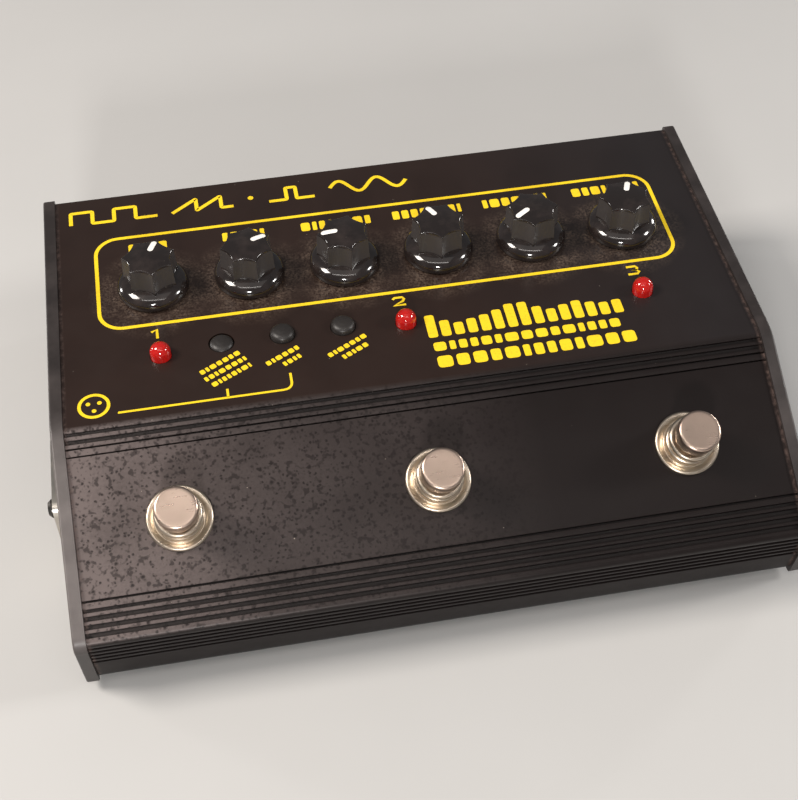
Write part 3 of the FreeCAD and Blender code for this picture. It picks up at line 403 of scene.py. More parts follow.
def knob_paint():
    """Glossy black moulding, with satin flutes painted lighter as a sheen, fine dust and faint pale finger
    smudges.
    """
    p = Paint("knob_black")
    pale_patch = p.between(p.noise(5.0, 5.0, 0.6), 0.45, 0.75)
    specks = p.calc("MAXIMUM", p.spots(1.6, 0.09, 0.2, 0.6), p.spots(3.6, 0.16, 0.25, 0.6))
    colour = p.mix(pale_patch, (0.013, 0.0092, 0.0082), (0.030, 0.0215, 0.019))
    flutes = p.calc("MULTIPLY", p.between(p.z, TOP_Z + 4.8, TOP_Z + 5.4),
                    p.between(p.z, TOP_Z + KNOB_RIM_H + 0.1, TOP_Z + KNOB_RIM_H - 0.5))
    p.set("Specular IOR Level", p.between(flutes, 0.0, 1.0, 0.85, 0.4))
    # Painted sheen: the flutes' colour is lighter all round. Their lower specular and higher roughness are the
    # satin finish.
    colour = p.mix(p.calc("MULTIPLY", flutes, 0.8), colour, (0.054, 0.048, 0.046))
    p.set("Base Color", p.mix(p.calc("MULTIPLY", specks, 0.5), colour, (0.36, 0.3, 0.25)))
    rough = p.calc("ADD", p.between(pale_patch, 0.0, 1.0, 0.10, 0.17), p.calc("MULTIPLY", flutes, 0.24))
    p.set("Roughness", p.calc("ADD", rough, p.calc("MULTIPLY", specks, 0.4)))
    p.bump(p.noise(2.5, 2.0), 0.01, 0.5)
    return p.material


def moulded(name, dark, light, rough=0.5):
    """Matt moulded plastic with a fine spark-eroded texture."""
    p = Paint(name)
    p.set("Base Color", p.mix(p.noise(6.0, 5.0), dark, light))
    grain = p.noise(0.28, 2.0)
    p.set("Roughness", p.between(grain, 0.3, 0.7, rough - 0.06, rough + 0.08))
    p.bump(grain, 0.02, 0.5)
    return p.material


def metal(name, colour, stain, rough, grain_axis=(1.0, 1.0, 1.0)):
    """Plated or turned metal: tool marks, stains, pits and uneven polish."""
    p = Paint(name, Metallic=1.0)
    tarnish = p.between(p.noise(3.2, 6.0, 0.62), 0.4, 0.75)
    pits = p.spots(1.7, 0.1, 0.2, 0.7)
    tone = p.mix(p.calc("MULTIPLY", tarnish, 0.5), colour, stain)
    p.set("Base Color", p.mix(p.calc("MULTIPLY", pits, 0.5), tone, tuple(c * 0.35 for c in stain)))
    marks = p.noise(0.3, 3.0, 0.6, p.stretched(*grain_axis))
    p.set("Roughness", p.between(p.calc("ADD", marks, tarnish), 0.3, 1.5, rough - 0.08, rough + 0.12))
    p.bump(p.calc("SUBTRACT", marks, pits), 0.006, 0.6)
    return p.material


def satin_nickel():
    """Satin plating, warm on the footswitch caps and paler on the collars: a soft cloudy tone,
    fine scratches and a few dull specks."""
    p = Paint("switch_nickel", Metallic=1.0)
    on_cap = p.between(above_foot(p), 9.0, 9.4)
    tone = p.mix(on_cap, (0.60, 0.52, 0.42), (0.56, 0.43, 0.355))
    tone = p.mix(p.between(p.noise(4.5, 2.0), 0.35, 0.65, 0.0, 0.35), tone, (0.49, 0.385, 0.31))
    specks = p.spots(2.6, 0.12, 0.2, 0.7)
    p.set("Base Color", p.mix(p.calc("MULTIPLY", specks, 0.35), tone, (0.4, 0.3, 0.22)))
    scratches = p.noise(0.5, 2.0, 0.5, p.stretched(0.12, 1.0, 0.5))
    p.set("Roughness", p.between(scratches, 0.3, 0.7, 0.27, 0.32))
    p.bump(scratches, 0.0005, 0.3)
    return p.material


def lens_red():
    """Tinted clear moulding, deep red, with a slightly cloudy heart."""
    p = Paint("lamp_red", Roughness=0.07, IOR=1.5, Transmission_Weight=0.25, Coat_Weight=0.5,
              Coat_Roughness=0.03, Subsurface_Weight=0.25, Subsurface_Radius=(0.003, 0.0005, 0.0004))
    p.shader.inputs["Subsurface Scale"].default_value = 0.8
    cloudy = p.noise(1.6, 4.0)
    p.set("Base Color", p.mix(cloudy, (0.52, 0.006, 0.005), (0.68, 0.02, 0.014)))
    p.bump(p.noise(1.1, 2.0), 0.008, 0.4)
    return p.material


def ink():
    """Screen-printed yellow, a little uneven and worn through in pinholes."""
    p = Paint("print_yellow", Specular_IOR_Level=0.12)
    thin = p.between(p.noise(0.8, 5.0, 0.65), 0.52, 0.8)
    tone = p.mix(p.noise(7.0, 3.0), (0.90, 0.62, 0.02), (0.95, 0.68, 0.03))
    p.set("Base Color", p.mix(p.calc("MULTIPLY", thin, 0.45), tone, (0.25, 0.19, 0.03)))
    p.set("Roughness", p.between(thin, 0.0, 1.0, 0.42, 0.6))
    p.bump(p.noise(0.3, 2.0), 0.01, 0.5)
    return p.material


def pointer_white():
    """White inlay paint, with grime in its low spots."""
    p = Paint("pointer_white")
    grime = p.between(p.noise(0.9, 5.0, 0.6), 0.5, 0.85)
    p.set("Base Color", p.mix(grime, (0.98, 0.96, 0.91), (0.6, 0.53, 0.44)))
    p.set("Roughness", p.between(grime, 0.0, 1.0, 0.35, 0.6))
    p.bump(p.noise(0.4, 2.0), 0.01, 0.4)
    return p.material


def board_green():
    """Solder mask over a pattern of tracks, with drilled and tinned spots."""
    p = Paint("board_green", Coat_Weight=0.3)
    tracks = p.node("ShaderNodeTexBrick", Vector=p.point, Scale=0.16, Mortar_Size=0.02).outputs["Fac"]
    colour = p.mix(tracks, (0.012, 0.10, 0.04), (0.02, 0.2, 0.07))
    pads = p.spots(2.6, 0.42, 0.35, 0.2)
    p.set("Base Color", p.mix(pads, colour, (0.6, 0.6, 0.56)))
    p.set("Roughness", p.between(p.noise(3.0), 0.3, 0.7, 0.25, 0.4))
    p.bump(p.calc("ADD", tracks, pads), 0.03, 0.6)
    return p.material


def ribbon_grey():
    """Flat cable: parallel insulated wires."""
    p = Paint("ribbon_grey")
    wires = p.node("ShaderNodeTexWave", Vector=p.point, Scale=0.25, bands_direction="X").outputs["Fac"]
    p.set("Base Color", p.mix(wires, (0.22, 0.22, 0.23), (0.5, 0.5, 0.5)))
    p.set("Roughness", p.between(p.noise(2.0), 0.3, 0.7, 0.45, 0.6))
    p.bump(wires, 0.2, 0.8)
    return p.material


def battery_can():
    """A plain wrapped jacket with a darker band and scuffs."""
    p = Paint("battery_can", Coat_Weight=0.2)
    band = p.between(p.x, 44.0, 44.4)
    scuffs = p.between(p.noise(2.0, 6.0, 0.7), 0.6, 0.8)
    colour = p.mix(band, (0.03, 0.03, 0.032), (0.42, 0.24, 0.09))
    p.set("Base Color", p.mix(p.calc("MULTIPLY", scuffs, 0.4), colour, (0.4, 0.4, 0.38)))
    p.set("Roughness", p.between(scuffs, 0.0, 1.0, 0.28, 0.5))
    p.bump(scuffs, 0.01, 0.5)
    return p.material


ZINC = ((0.66, 0.66, 0.64), (0.42, 0.40, 0.36))
PAINTS = {
    "case_black": case_paint(),
    "cheek_black": cheek_paint(),
    "black_screw": metal("black_screw", (0.06, 0.058, 0.056), (0.12, 0.10, 0.085), 0.4),
    "base_steel": moulded("base_steel", (0.016, 0.016, 0.017), (0.03, 0.03, 0.03), 0.55),
    "feet_rubber": moulded("feet_rubber", (0.012, 0.012, 0.012), (0.03, 0.029, 0.028), 0.8),
    "pot_steel": metal("pot_steel", *ZINC, 0.35),
    "zinc_nut": metal("zinc_nut", *ZINC, 0.32),
    "switch_nickel": satin_nickel(),
    "switch_plastic": moulded("switch_plastic", (0.02, 0.02, 0.02), (0.04, 0.038, 0.036)),
    "board_green": board_green(),
    "lamp_red": lens_red(),
    "chip_black": moulded("chip_black", (0.014, 0.014, 0.014), (0.03, 0.03, 0.03), 0.6),
    "ribbon_grey": ribbon_grey(),
    "jack_plastic": moulded("jack_plastic", (0.016, 0.016, 0.016), (0.034, 0.033, 0.032), 0.45),
    "jack_nickel": metal("jack_nickel", (0.78, 0.75, 0.70), (0.55, 0.50, 0.43), 0.25),
    "xlr_metal": metal("xlr_metal", (0.62, 0.58, 0.52), (0.42, 0.38, 0.33), 0.36),
    "pin_gold": metal("pin_gold", (0.83, 0.61, 0.27), (0.6, 0.42, 0.2), 0.25),
    "tray_plastic": moulded("tray_plastic", (0.018, 0.018, 0.019), (0.034, 0.033, 0.033), 0.5),
    "battery_can": battery_can(),
    "clip_vinyl": moulded("clip_vinyl", (0.014, 0.014, 0.014), (0.03, 0.03, 0.03), 0.55),
    "shaft_metal": metal("shaft_metal", (0.72, 0.71, 0.69), (0.5, 0.48, 0.45), 0.3, (1.0, 1.0, 0.1)),
    "knob_black": knob_paint(),
    "button_black": moulded("button_black", (0.014, 0.012, 0.0115), (0.026, 0.022, 0.02), 0.42),
}
INK = ink()
WHITE = pointer_white()


def paint_cad_nodes():
    """Each CAD node in its record slot's material."""
    for row in frame["record"]["subparts"]:
        obj = NODES[row["node"]]
        if not obj.material_slots:
            obj.data.materials.append(None)
        for slot in obj.material_slots:
            slot.material = PAINTS[row["material_slot"]]


def soften_cheeks():
    """Rounded edges on the end plates."""
    for node in ("left_cheek", "right_cheek"):
        round_off = NODES[node].modifiers.new("edges", "BEVEL")
        round_off.width, round_off.segments = CHEEK_EDGE_R * MM, 3
        round_off.limit_method = "ANGLE"
        round_off.angle_limit = math.radians(50)
        round_off.harden_normals = True


# ---- the case --------------------------------------------------------------------------
def grooved(start, end, grooves, length):
    """From start to end, with eased grooves at (distance, width) cut below the outer side."""
    along = (Vector(end) - Vector(start)).normalized()
    outward = Vector((along.y, -along.x))
    line = [Vector(start)]
    for at, width in grooves:
        corners = [(at - GROOVE_LIP * 2, 0), (at, 0), (at + GROOVE_DRAFT, -GROOVE_DEPTH),
                   (at + width - GROOVE_DRAFT, -GROOVE_DEPTH), (at + width, 0),
                   (at + width + GROOVE_LIP * 2, 0)]
        local = soften(corners, GROOVE_LIP, 3)[1:-1]
        line += [Vector(start) + along * s + outward * h for s, h in local if s < length]
    return line + [Vector(end)]


def shell_outline():
    """The extrusion's section as one closed loop of (y, z), outside and then inside."""
    cos_t, sin_t = math.cos(TILT), math.sin(TILT)
    rear_top, bend = Vector((REAR_Y, TOP_Z)), Vector((BREAK_Y, TOP_Z))
    nose = bend + Vector((-FOOT_LENGTH * cos_t, -FOOT_LENGTH * sin_t))
    front = Vector((nose[0] + (nose[1] - BOTTOM_Z) * math.tan(WALL_LEAN), BOTTOM_Z))
    nose_cut = NOSE_R * math.tan(math.radians(45) - TILT / 2 + WALL_LEAN / 2)
    down = (front - nose).normalized()
    foot = (nose - bend).normalized()
    outer = [Vector((REAR_Y, BOTTOM_Z)), rear_top - Vector((0, REAR_EDGE_R))]
    outer += soften([rear_top - Vector((0, REAR_EDGE_R * 1.01)), rear_top,
                     rear_top - Vector((REAR_EDGE_R * 1.01, 0))], REAR_EDGE_R, 4)[1:-1]
    outer += soften([bend + Vector((2, 0)), bend, bend + foot * 1.2], BREAK_EASE, 4)[1:-1]
    outer += grooved(bend, nose - foot * nose_cut, BREAK_GROOVES + NOSE_GROOVES, FOOT_LENGTH)[1:-1]
    outer += soften([nose - foot * nose_cut * 2.3, nose, nose + down * nose_cut * 2.3], nose_cut, 8)[1:-1]
    outer += grooved(nose, front, WALL_GROOVES, math.inf)[1:]
    return outer, inner_outline(bend, nose)


def inner_outline(bend, nose):
    """The inside of the section, from the front lip's tip round to the rear lip's."""
    turn = math.radians(90) - TILT + WALL_LEAN
    along = SKIN * math.tan(turn / 2)
    nose_in = nose + Vector((along * math.cos(TILT) + SKIN * math.sin(TILT),
                             along * math.sin(TILT) - SKIN * math.cos(TILT)))
    floor_z = BOTTOM_Z + SKIN
    foot_in = Vector((nose_in[0] + (nose_in[1] - floor_z) * math.tan(WALL_LEAN), floor_z))
    lip_y, rear_lip_y = nose[0] + FRONT_LIP, REAR_Y - REAR_LIP
    return [Vector((lip_y, BOTTOM_Z)), Vector((lip_y, floor_z)), foot_in, nose_in,
            Vector((bend[0] + SKIN * math.tan(TILT / 2), TOP_Z - SKIN)),
            Vector((REAR_Y - SKIN, TOP_Z - SKIN)),
            Vector((REAR_Y - SKIN, floor_z)), Vector((rear_lip_y, floor_z)), Vector((rear_lip_y, BOTTOM_Z))]


def hole(radius, spot, turns=64):
    """A rod to cut a round hole through the skin along the spot's local Z."""
    ring = [(radius * math.cos(2 * math.pi * k / turns), radius * math.sin(2 * math.pi * k / turns))
            for k in range(turns)]
    return prism(ring, -HOLE_REACH, HOLE_REACH, spot)


def case_holes():
    """The cutting rods: knobs, lamps, push buttons, footswitches and the DC inlet."""
    holes = [hole(BUSHING_HOLE_R, Matrix.Translation((s.x, s.y, TOP_Z))) for s in KNOB_SPOTS]
    holes += [hole(LAMP_R + LAMP_CLEARANCE, Matrix.Translation((x, LAMP_Y, TOP_Z))) for x in CHANNEL_XS]
    for low, high in BUTTON_BOXES:
        middle = (low + high) / 2
        holes.append(hole(BUTTON_R + SWITCH_CLEARANCE, Matrix.Translation((middle.x, middle.y, TOP_Z))))
    for x in CHANNEL_XS:
        holes.append(hole(BARREL_R + SWITCH_CLEARANCE, FOOT @ Matrix.Translation((x, -FOOTSWITCH_ROW, 0))))
    dc_spot = Matrix.Translation((DC_CENTRE.x, REAR_Y, DC_CENTRE.z))
    holes.append(hole(DC_HOLE_R, dc_spot @ Matrix.Rotation(math.radians(90), 4, "X")))
    return joined(holes)


def case_shell():
    """The folded-lip extrusion, with its holes cut through."""
    outer, inner = shell_outline()
    section = outer + inner
    count = len(section)
    points = [Vector((x, y, z)) for x in (-SHELL_HALF, SHELL_HALF) for y, z in section]
    faces = [tuple(range(count)), tuple(range(count, 2 * count))[::-1]]
    faces += [(i, count + i, count + (i + 1) % count, (i + 1) % count) for i in range(count)]
    shell = piece("case_shell", points, faces, PAINTS["case_black"])
    cutter_points, cutter_faces = case_holes()
    cutter = piece("hole_cutter", cutter_points, cutter_faces, PAINTS["case_black"])
    cut = shell.modifiers.new("holes", "BOOLEAN")
    cut.operation, cut.solver, cut.object = "DIFFERENCE", "EXACT", cutter
    bpy.context.view_layer.update()
    mesh = bpy.data.meshes.new_from_object(shell.evaluated_get(bpy.context.evaluated_depsgraph_get()))
    if max(v.co.z for v in mesh.vertices) > (TOP_Z + 0.1) * MM:
        raise RuntimeError("the holes in the case were not cut")
    shell.modifiers.clear()
    shell.data = mesh
    bpy.data.objects.remove(cutter)
    finish_mesh(shell, PAINTS["case_black"], 28.0)
    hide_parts("top_shell")


# ---- knobs -----------------------------------------------------------------------------
def grip_radius(turn):
    """The fluted grip's radius at an angle from the middle of a lobe."""
    step = 2 * math.pi / KNOB_LOBES
    off = (turn % step) - step / 2
    centre = KNOB_FLUTE_FLOOR + KNOB_FLUTE_R
    radius = centre * math.cos(off) - math.sqrt(max(KNOB_FLUTE_R ** 2 - (centre * math.sin(off)) ** 2, 0.0))
    gap = max(KNOB_LOBE_BLEND - abs(radius - KNOB_LOBE_R), 0.0) / KNOB_LOBE_BLEND
    return min(radius, KNOB_LOBE_R) - gap * gap * KNOB_LOBE_BLEND * 0.25


def crown_height(radius):
    """The domed top's height at a distance from the axis."""
    return KNOB_RIM_H + KNOB_CROWN * (1 - (radius / KNOB_LOBE_R) ** 2)


def knob_column(turn):
    """(radius, height) points of the knob at one angle: recess, skirt, dome, grip and crown."""
    grip = grip_radius(turn)
    column = [(KNOB_BORE_R, KNOB_RECESS_TOP), (KNOB_RECESS_R - 0.2, KNOB_RECESS_TOP),
              (KNOB_RECESS_R, KNOB_RECESS_TOP - 0.2), (KNOB_RECESS_R, KNOB_GAP),
              (KNOB_SKIRT_R - 0.35, KNOB_GAP), (KNOB_SKIRT_R - 0.1, KNOB_GAP + 0.1),
              (KNOB_SKIRT_R, KNOB_GAP + 0.35), (KNOB_SKIRT_R, KNOB_SKIRT_EDGE)]
    for k in range(1, KNOB_DOME_STEPS + 1):
        a = math.radians(90) * k / KNOB_DOME_STEPS
        height = KNOB_SKIRT_EDGE + (KNOB_SKIRT_TOP - KNOB_SKIRT_EDGE) * math.sin(a)
        dome = KNOB_NECK_R + (KNOB_SKIRT_R - KNOB_NECK_R) * math.cos(a)
        column.append((max(dome, grip * (1 + KNOB_FLARE)), height))
    top = crown_height(grip) - KNOB_RIM_R
    for share in (0.12, 0.35, 0.7, 0.9):
        wide = grip * (1 + KNOB_FLARE - KNOB_FLARE * share)
        column.append((wide, KNOB_SKIRT_TOP + (top - KNOB_SKIRT_TOP) * share))
    rim = grip - KNOB_RIM_R
    for k in range(6):
        a = math.radians(18) * k
        column.append((rim + KNOB_RIM_R * math.cos(a),
                       crown_height(rim) - KNOB_RIM_R + KNOB_RIM_R * math.sin(a)))
    for share in (0.86, 0.68, 0.48, 0.28, 0.1):
        column.append((grip * share, crown_height(grip * share)))
    return column


def knob(index, spot, bearing):
    """The whole moulding, its columns closest together at the ridges, and its pointer."""
    steps = KNOB_STEPS_PER_LOBE
    turns = KNOB_LOBES * steps
    lead = math.radians(bearing)
    points, rings = [], 0
    for k in range(turns):
        part_way = 0.5 - 0.5 * math.cos(math.pi * (k % steps) / steps)
        a = 2 * math.pi / KNOB_LOBES * (k // steps + part_way)
        column = knob_column(a)
        rings = len(column)
        points += [(r * math.cos(a + lead), r * math.sin(a + lead), h) for r, h in column]
    faces = []
    for k in range(turns):
        here, there = k * rings, (k + 1) % turns * rings
        faces += [(here + i, there + i, there + i + 1, here + i + 1) for i in range(rings - 1)]
    faces.append(tuple(k * rings for k in range(turns)))
    faces.append(tuple(k * rings + rings - 1 for k in range(turns)))
    at = Matrix.Translation((spot.x, spot.y, TOP_Z))
    body = "knob_%d_body" % index
    cap = piece("knob_cap_%d" % index, points, faces, PAINTS["knob_black"], body, at, 40.0)
    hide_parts("knob_%d" % index)
    pointer(index, body, at @ Matrix.Rotation(lead, 4, "Z"))


def pointer(index, body, at):
    """White inlay with round ends, lying on the crown along local X."""
    points, faces = [], []
    for i in range(POINTER_STEPS + 1):
        along = 0.5 - 0.5 * math.cos(math.pi * i / POINTER_STEPS)
        x = POINTER_START + (POINTER_END - POINTER_START) * along
        reach = min(x - POINTER_START, POINTER_END - x, POINTER_HALF)
        wide = math.sqrt(max(POINTER_HALF ** 2 - (POINTER_HALF - reach) ** 2, 1e-4))
        section = [(-wide, POINTER_SINK), (-wide, POINTER_EDGE), (-wide * 0.86, POINTER_TOP),
                   (wide * 0.86, POINTER_TOP), (wide, POINTER_EDGE), (wide, POINTER_SINK)]
        points += [(x, y, crown_height(x) + rise) for y, rise in section]
    sides = len(section)
    for i in range(POINTER_STEPS):
        here, there = sides * i, sides * (i + 1)
        faces += [(here + k, here + (k + 1) % sides, there + (k + 1) % sides, there + k)
                  for k in range(sides)]
    faces += [tuple(range(sides)), tuple(sides * POINTER_STEPS + k for k in range(sides))]
    piece("knob_pointer_%d" % index, points, faces, WHITE, body, at)


# ---- footswitches ------------------------------------------------------------------------
def footswitches():
    """Flanged collars standing on the foot face, and the capped plungers that slide in them."""
    turns = 112
    spots = [FOOT @ Matrix.Translation((x, -FOOTSWITCH_ROW, 0)) for x in CHANNEL_XS]
    collar = [(4.0, -7.0), (BARREL_R, -7.0), (BARREL_R, 0.0), (8.75, 0.0), (8.75, 0.95), (8.3, 1.3),
              (7.4, 1.12), (6.75, 0.8), (6.4, 0.8), (6.4, 3.55), (5.85, 3.85), (5.85, 4.45), (6.3, 4.75),
              (6.3, 6.6), (5.9, 7.0), (4.7, 7.0), (4.5, 6.8), (4.0, 6.8)]
    smooth = [tuple(p) for p in soften(collar, 0.22, 4, closed=True)]
    collars = lathe("footswitch_collars", smooth, PAINTS["switch_nickel"], spots=spots, turns=turns)
    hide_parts("footswitch_bushings")
    cap = [(0.0, -9.6), (PLUNGER_R - 0.4, -9.6), (PLUNGER_R, -9.2), (PLUNGER_R, -8.6),
           (PLUNGER_NECK_R, -8.6), (PLUNGER_NECK_R, -7.8), (PLUNGER_R, -7.8), (PLUNGER_R, CAP_FOOT)]
    cap_edge = [(PLUNGER_R, CAP_FOOT), (CAP_R, CAP_FOOT), (CAP_R, CAP_TOP), (0.0, CAP_TOP)]
    cap += [tuple(p) for p in soften(cap_edge, 0.85, 7)[1:-1]]
    cap += [(4.4, CAP_TOP), (3.0, CAP_TOP - 0.03), (1.5, CAP_TOP - 0.05), (0.0, CAP_TOP - 0.05)]
    for i, spot in enumerate(spots, start=1):
        top = lathe("footswitch_button_%d" % i, cap, PAINTS["switch_nickel"], "footswitch_%d" % i,
                    [spot], turns)
        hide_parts("footswitch_cap_%d" % i)


# ---- lamps and push buttons ----------------------------------------------------------------
def lamps():
    """Three domed lenses through the control face."""
    outline = [(0.0, LAMP_FOOT_Z), (LAMP_FLANGE_R, LAMP_FOOT_Z), (LAMP_FLANGE_R, LAMP_FLANGE_TOP_Z),
               (LAMP_R, LAMP_FLANGE_TOP_Z), (LAMP_R, LAMP_SHOULDER_Z)]
    for k in range(1, LAMP_DOME_STEPS + 1):
        a = math.radians(90) * k / LAMP_DOME_STEPS
        radius = LAMP_R * math.cos(a) if k < LAMP_DOME_STEPS else 0.0
        outline.append((radius, LAMP_SHOULDER_Z + LAMP_R * math.sin(a)))
    spots = [Matrix.Translation((x, LAMP_Y, 0)) for x in CHANNEL_XS]
    lens = lathe("lamp_lenses", outline, PAINTS["lamp_red"], spots=spots, turns=64)
    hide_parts("channel_lamps")


def push_buttons():
    """Domed caps, each on a collar and stem below the face."""
    for i, (low, high) in enumerate(BUTTON_BOXES, start=1):
        top, base = high.z, low.z
        stem_top, collar_top = base + BUTTON_STEM_H, base + BUTTON_COLLAR_TOP
        outline = [(0.0, base), (BUTTON_STEM_R, base), (BUTTON_STEM_R, stem_top),
                   (BUTTON_COLLAR_R, stem_top), (BUTTON_COLLAR_R, collar_top), (BUTTON_R, collar_top)]
        dome = [(BUTTON_R, collar_top), (BUTTON_R, top - 1.15), (BUTTON_R - 1.0, top - 0.25), (0.0, top)]
        outline += [tuple(p) for p in soften(dome, 0.9, 6)[1:-1]]
        outline += [(1.2, top - 0.05), (0.6, top - 0.01), (0.0, top)]
        spot = Matrix.Translation(((low.x + high.x) / 2, (low.y + high.y) / 2, 0))
        button = lathe("push_cap_%d" % i, outline, PAINTS["button_black"], "button_%d" % i, [spot], 72)
        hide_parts("push_button_%d" % i)


# ---- print on the control face ---------------------------------------------------------------
def stroke(line, width, closed=False):
    """A flat ribbon of ink along a line of (x, distance behind the break) points."""
    line = [Vector(p) for p in line]
    count = len(line)
    left, right = [], []
    for i, p in enumerate(line):
        before = line[i - 1] if closed or i else p
        after = line[(i + 1) % count] if closed or i < count - 1 else p
        way = (after - before).normalized()
        side = Vector((-way.y, way.x)) * width / 2
        left.append(p + side)
        right.append(p - side)
    points, faces = [], []
    for z in (INK_LOW, INK_HIGH):
        points += [Vector((p.x, p.y, z)) for p in left + right]
    spans = range(count if closed else count - 1)
    for i in spans:
        j = (i + 1) % count
        faces += [(2 * count + i, 3 * count + i, 3 * count + j, 2 * count + j), (i, j, count + j, count + i),
                  (i, 2 * count + i, 2 * count + j, j), (count + i, count + j, 3 * count + j, 3 * count + i)]
    if not closed:
        for i in (0, count - 1):
            faces.append((i, count + i, 3 * count + i, 2 * count + i))
    return points, faces


def bar(x, v, length, height, turn=0.0, skew=0.0):
    """A bar of ink with eased corners, its lower left corner at (x, v)."""
    corners = [(0, 0), (length, 0), (length + skew, height), (skew, height)]
    outline = soften(corners, min(height, length) * 0.3, 4, closed=True)
    place = Matrix.Translation((x, v, 0)) @ Matrix.Rotation(math.radians(turn), 4, "Z")
    return prism([tuple(p) for p in outline], INK_LOW, INK_HIGH, place)


def ring_stroke(x, v, radius, width):
    """A printed circle."""
    turns = 40
    line = [(x + radius * math.cos(2 * math.pi * k / turns), v + radius * math.sin(2 * math.pi * k / turns))
            for k in range(turns)]
    return stroke(line, width, closed=True)


def dot(x, v, radius):
    """A printed spot."""
    return prism([(x + radius * math.cos(math.pi * k / 12), v + radius * math.sin(math.pi * k / 12))
                  for k in range(24)], INK_LOW, INK_HIGH)


def knob_frame():
    """The rounded frame round the six knobs."""
    left, right, low, high, r = -83.9, 82.6, 33.8, 70.8, 6.6
    corners = ((right - r, high - r, 0), (left + r, high - r, 90), (left + r, low + r, 180),
               (right - r, low + r, 270))
    line = []
    for cx, cv, start in corners:
        for k in range(13):
            a = math.radians(start + 90 * k / 12)
            line.append((cx + r * math.cos(a), cv + r * math.sin(a)))
    return stroke(line, FRAME_LINE, closed=True)


def bracket():
    """The line from the socket sign to the first and second push buttons."""
    turned_up = soften([(-80.6, 2.9), (-34.1, 2.9), (-34.1, 8.6)], 2.6, 6)
    return [stroke(turned_up, THIN_LINE), stroke([(-51.4, 3.1), (-51.4, 6.0)], THIN_LINE)]


def code_row(x, v, length, height, seed, pitch=3.2, turn=0.0):
    """A row of plain blocks of uneven width filling a length: print with nothing to read."""
    place = Matrix.Translation((x, v, 0)) @ Matrix.Rotation(math.radians(turn), 4, "Z")
    parts, at, step = [], 0.0, seed
    while at < length - pitch * 0.3:
        step = (step * 7 + 3) % 11
        wide = min(pitch * (0.42 + 0.05 * step), length - at)
        corner = place @ Vector((at, 0, 0))
        parts.append(bar(corner.x, corner.y, wide, height, turn))
        at += wide + pitch * 0.24
    return parts


def button_labels():
    """Slanted rows in place of words below the push buttons."""
    rows = {-57.6: (12.6, 13.2, 12.4), -39.6: (11.4, 5.6), -22.6: (13.0, 8.6)}    # left end: lengths
    first_row, height, pitch, slant = 12.2, 1.6, 1.9, 28.0
    parts = []
    for x, lengths in rows.items():
        for i, length in enumerate(lengths):
            inset = (lengths[0] - length) * 0.55
            foot = first_row - 2.5 * i + inset * 0.5
            parts += code_row(x + 1.35 * i + inset, foot, length, height, 2 + i, pitch, slant)
    return parts


def meter_sign():
    """Level bars over two rows of blocks, to the left of the third lamp."""
    heights = [8.6, 6.0, 4.6, 5.4, 6.2, 7.4, 9.0, 9.0, 6.6, 5.0, 6.0, 6.8, 5.6, 4.8, 5.2]
    parts = [bar(5.2 + 3.78 * i, 14.4, 2.7, height) for i, height in enumerate(heights)]
    parts += code_row(5.8, 9.2, 54.6, 3.2, 4, 4.0)
    parts += code_row(5.8, 3.0, 55.6, 4.2, 1, 4.6)
    return parts


def header_trace():
    """A row of test waves along the rear of the control face: square, ramp, pulse and sine."""
    low, high = 79.0, 84.3
    square = [(-90.6, low), (-90.6, high), (-84.2, high), (-84.2, low), (-77.8, low), (-77.8, high),
              (-71.4, high), (-71.4, low), (-65.0, low)]
    ramp = [(-60.6, low), (-53.2, high), (-53.2, low), (-45.8, high), (-45.8, low), (-42.2, low)]
    pulse = [(-31.4, low), (-26.0, low), (-26.0, high), (-23.0, high), (-23.0, low), (-17.6, low)]
    middle, swing = (low + high) / 2, (high - low) / 2
    sine = [(-12.6 + 23.4 * k / 48, middle + swing * math.sin(4 * math.pi * k / 48)) for k in range(49)]
    traces = [stroke(soften(line, 0.5, 4), TRACE_LINE) for line in (square, ramp, pulse)]
    return traces + [stroke(sine, TRACE_LINE), dot(-36.8, middle, 0.85)]


def knob_labels():
    """Short rows in place of the words behind the knobs."""
    foot, height, pitch = 63.9, 3.6, 3.1
    parts = []
    for i, spot in enumerate(KNOB_SPOTS):
        half = 6.2 if i < 2 else 10.4
        parts += code_row(spot.x - half, foot, 2 * half, height, i + 2, pitch)
    return parts


def socket_sign():
    """A three-pole socket seen from the front."""
    x, v, ring_r, pin_circle_r, pin_r = -86.8, 6.4, 3.9, 1.75, 0.62
    pins = []
    for angle in (30, 150, 270):
        a = math.radians(angle)
        pins.append(dot(x + pin_circle_r * math.cos(a), v + pin_circle_r * math.sin(a), pin_r))
    return [ring_stroke(x, v, ring_r, SIGN_LINE)] + pins


def numeral(number, x, v):
    """A printed figure with its foot at v."""
    lines = {
        1: [(-1.3, 2.3), (0.25, 3.1), (0.25, -0.3)],
        2: [(-1.6, 2.5), (-1.1, 3.1), (1.1, 3.1), (1.6, 2.4), (1.1, 1.5), (-1.6, 0.1), (1.8, 0.1)],
        3: [(-1.6, 3.1), (1.1, 3.1), (1.5, 2.4), (1.0, 1.6), (-0.5, 1.6), (1.0, 1.6), (1.7, 0.8), (1.1, 0.1),
            (-1.7, 0.1)],
    }
    return stroke([(x + px, v + pv) for px, pv in lines[number]], FIGURE_LINE)


def panel_print():
    """All the ink, as one piece lying on the control face."""
    parts = [knob_frame()] + bracket() + button_labels() + meter_sign() + header_trace()
    parts += knob_labels() + socket_sign()
    parts += [numeral(i, x, FIGURE_FOOT) for i, x in enumerate(FIGURE_XS, start=1)]
    points, faces = joined(parts)
    piece("panel_print", points, faces, INK, at=CONTROL)


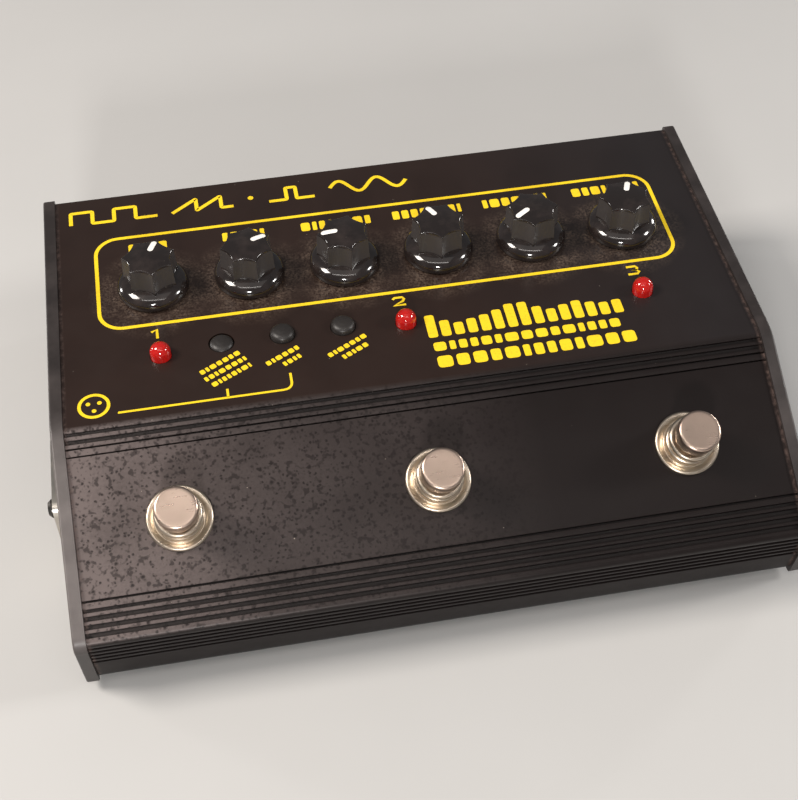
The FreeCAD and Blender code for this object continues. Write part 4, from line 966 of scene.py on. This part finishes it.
# ---- room, light and camera --------------------------------------------------------------------
def floor():
    """A pale matt ground."""
    half = FLOOR_HALF
    mesh = bpy.data.meshes.new("floor")
    corners = [(-half, -half, 0), (half, -half, 0), (half, half, 0), (-half, half, 0)]
    mesh.from_pydata(corners, [], [(0, 1, 2, 3)])
    obj = bpy.data.objects.new("floor", mesh)
    bpy.context.scene.collection.objects.link(obj)
    p = Paint("floor_pale", Roughness=0.6)
    p.set("Base Color", p.mix(p.noise(60.0, 3.0), (0.50, 0.495, 0.485), (0.53, 0.525, 0.515)))
    obj.data.materials.append(p.material)


def area_light(name, place, aim, power, width, depth, colour):
    """A rectangular lamp at a place in metres, facing its aim, with its power in watts."""
    light = bpy.data.lights.new(name, "AREA")
    light.shape, light.size, light.size_y = "RECTANGLE", width, depth
    light.energy, light.color = power, colour
    obj = bpy.data.objects.new(name, light)
    obj.location = place
    obj.rotation_mode = "QUATERNION"
    obj.rotation_quaternion = (Vector(aim) - Vector(place)).to_track_quat("-Z", "Y")
    bpy.context.scene.collection.objects.link(obj)


def lights():
    """A warm soft key from the left, a wide ceiling, and small lamps for glints."""
    world = bpy.data.worlds.new("studio")
    world.use_nodes = True
    background = world.node_tree.nodes["Background"]
    background.inputs["Color"].default_value = (0.80, 0.82, 0.86, 1.0)
    background.inputs["Strength"].default_value = 0.20
    bpy.context.scene.world = world
    area_light("key", (-0.75, 0.05, 0.85), (-0.05, -0.02, 0.02), 10.2, 0.34, 0.34, (1.0, 0.93, 0.86))
    area_light("ceiling", (-0.05, -0.25, 1.1), (0.0, -0.02, 0.0), 1.2, 1.1, 0.9, (1.0, 0.93, 0.87))
    area_light("strip", (-0.1, -0.42, 0.95), (0.0, -0.02, 0.03), 1.25, 1.0, 0.04, (1.0, 0.95, 0.9))
    area_light("front", (-0.18, -0.85, 0.42), (0.0, 0.0, 0.03), 4.7, 0.12, 0.1, (1.0, 0.97, 0.94))
    area_light("left_rim", (-0.85, 0.45, 0.2), (0.0, 0.03, 0.05), 1.8, 0.1, 0.16, (1.0, 0.97, 0.94))
    area_light("right_rim", (0.85, 0.45, 0.2), (0.0, 0.03, 0.05), 1.8, 0.1, 0.16, (1.0, 0.97, 0.94))
    area_light("side", (0.75, -0.1, 0.45), (0.0, 0.0, 0.03), 2.8, 0.14, 0.14, (1.0, 0.97, 0.94))


def camera():
    """Set by the perspective of the printed frame, the lamps and the case edges."""
    lens = bpy.data.cameras.new("camera")
    lens.sensor_width = CAMERA_SENSOR
    lens.lens = CAMERA_LENS
    obj = bpy.data.objects.new("camera", lens)
    forward = CAMERA_FORWARD.normalized()
    right = forward.cross(CAMERA_UP).normalized()
    up = right.cross(forward)
    place = Matrix((right, up, -forward)).transposed().to_4x4()
    place.translation = (Vector((0, BREAK_Y, TOP_Z)) + CAMERA_FROM_BREAK) * MM
    obj.matrix_world = place
    bpy.context.scene.collection.objects.link(obj)
    bpy.context.scene.camera = obj
    bpy.context.scene.view_settings.view_transform = "Standard"


paint_cad_nodes()
soften_cheeks()
case_shell()
for number, (knob_spot, pointer_bearing) in enumerate(zip(KNOB_SPOTS, POINTER_BEARINGS), start=1):
    knob(number, knob_spot, pointer_bearing)
footswitches()
lamps()
push_buttons()
panel_print()
floor()
lights()
camera()
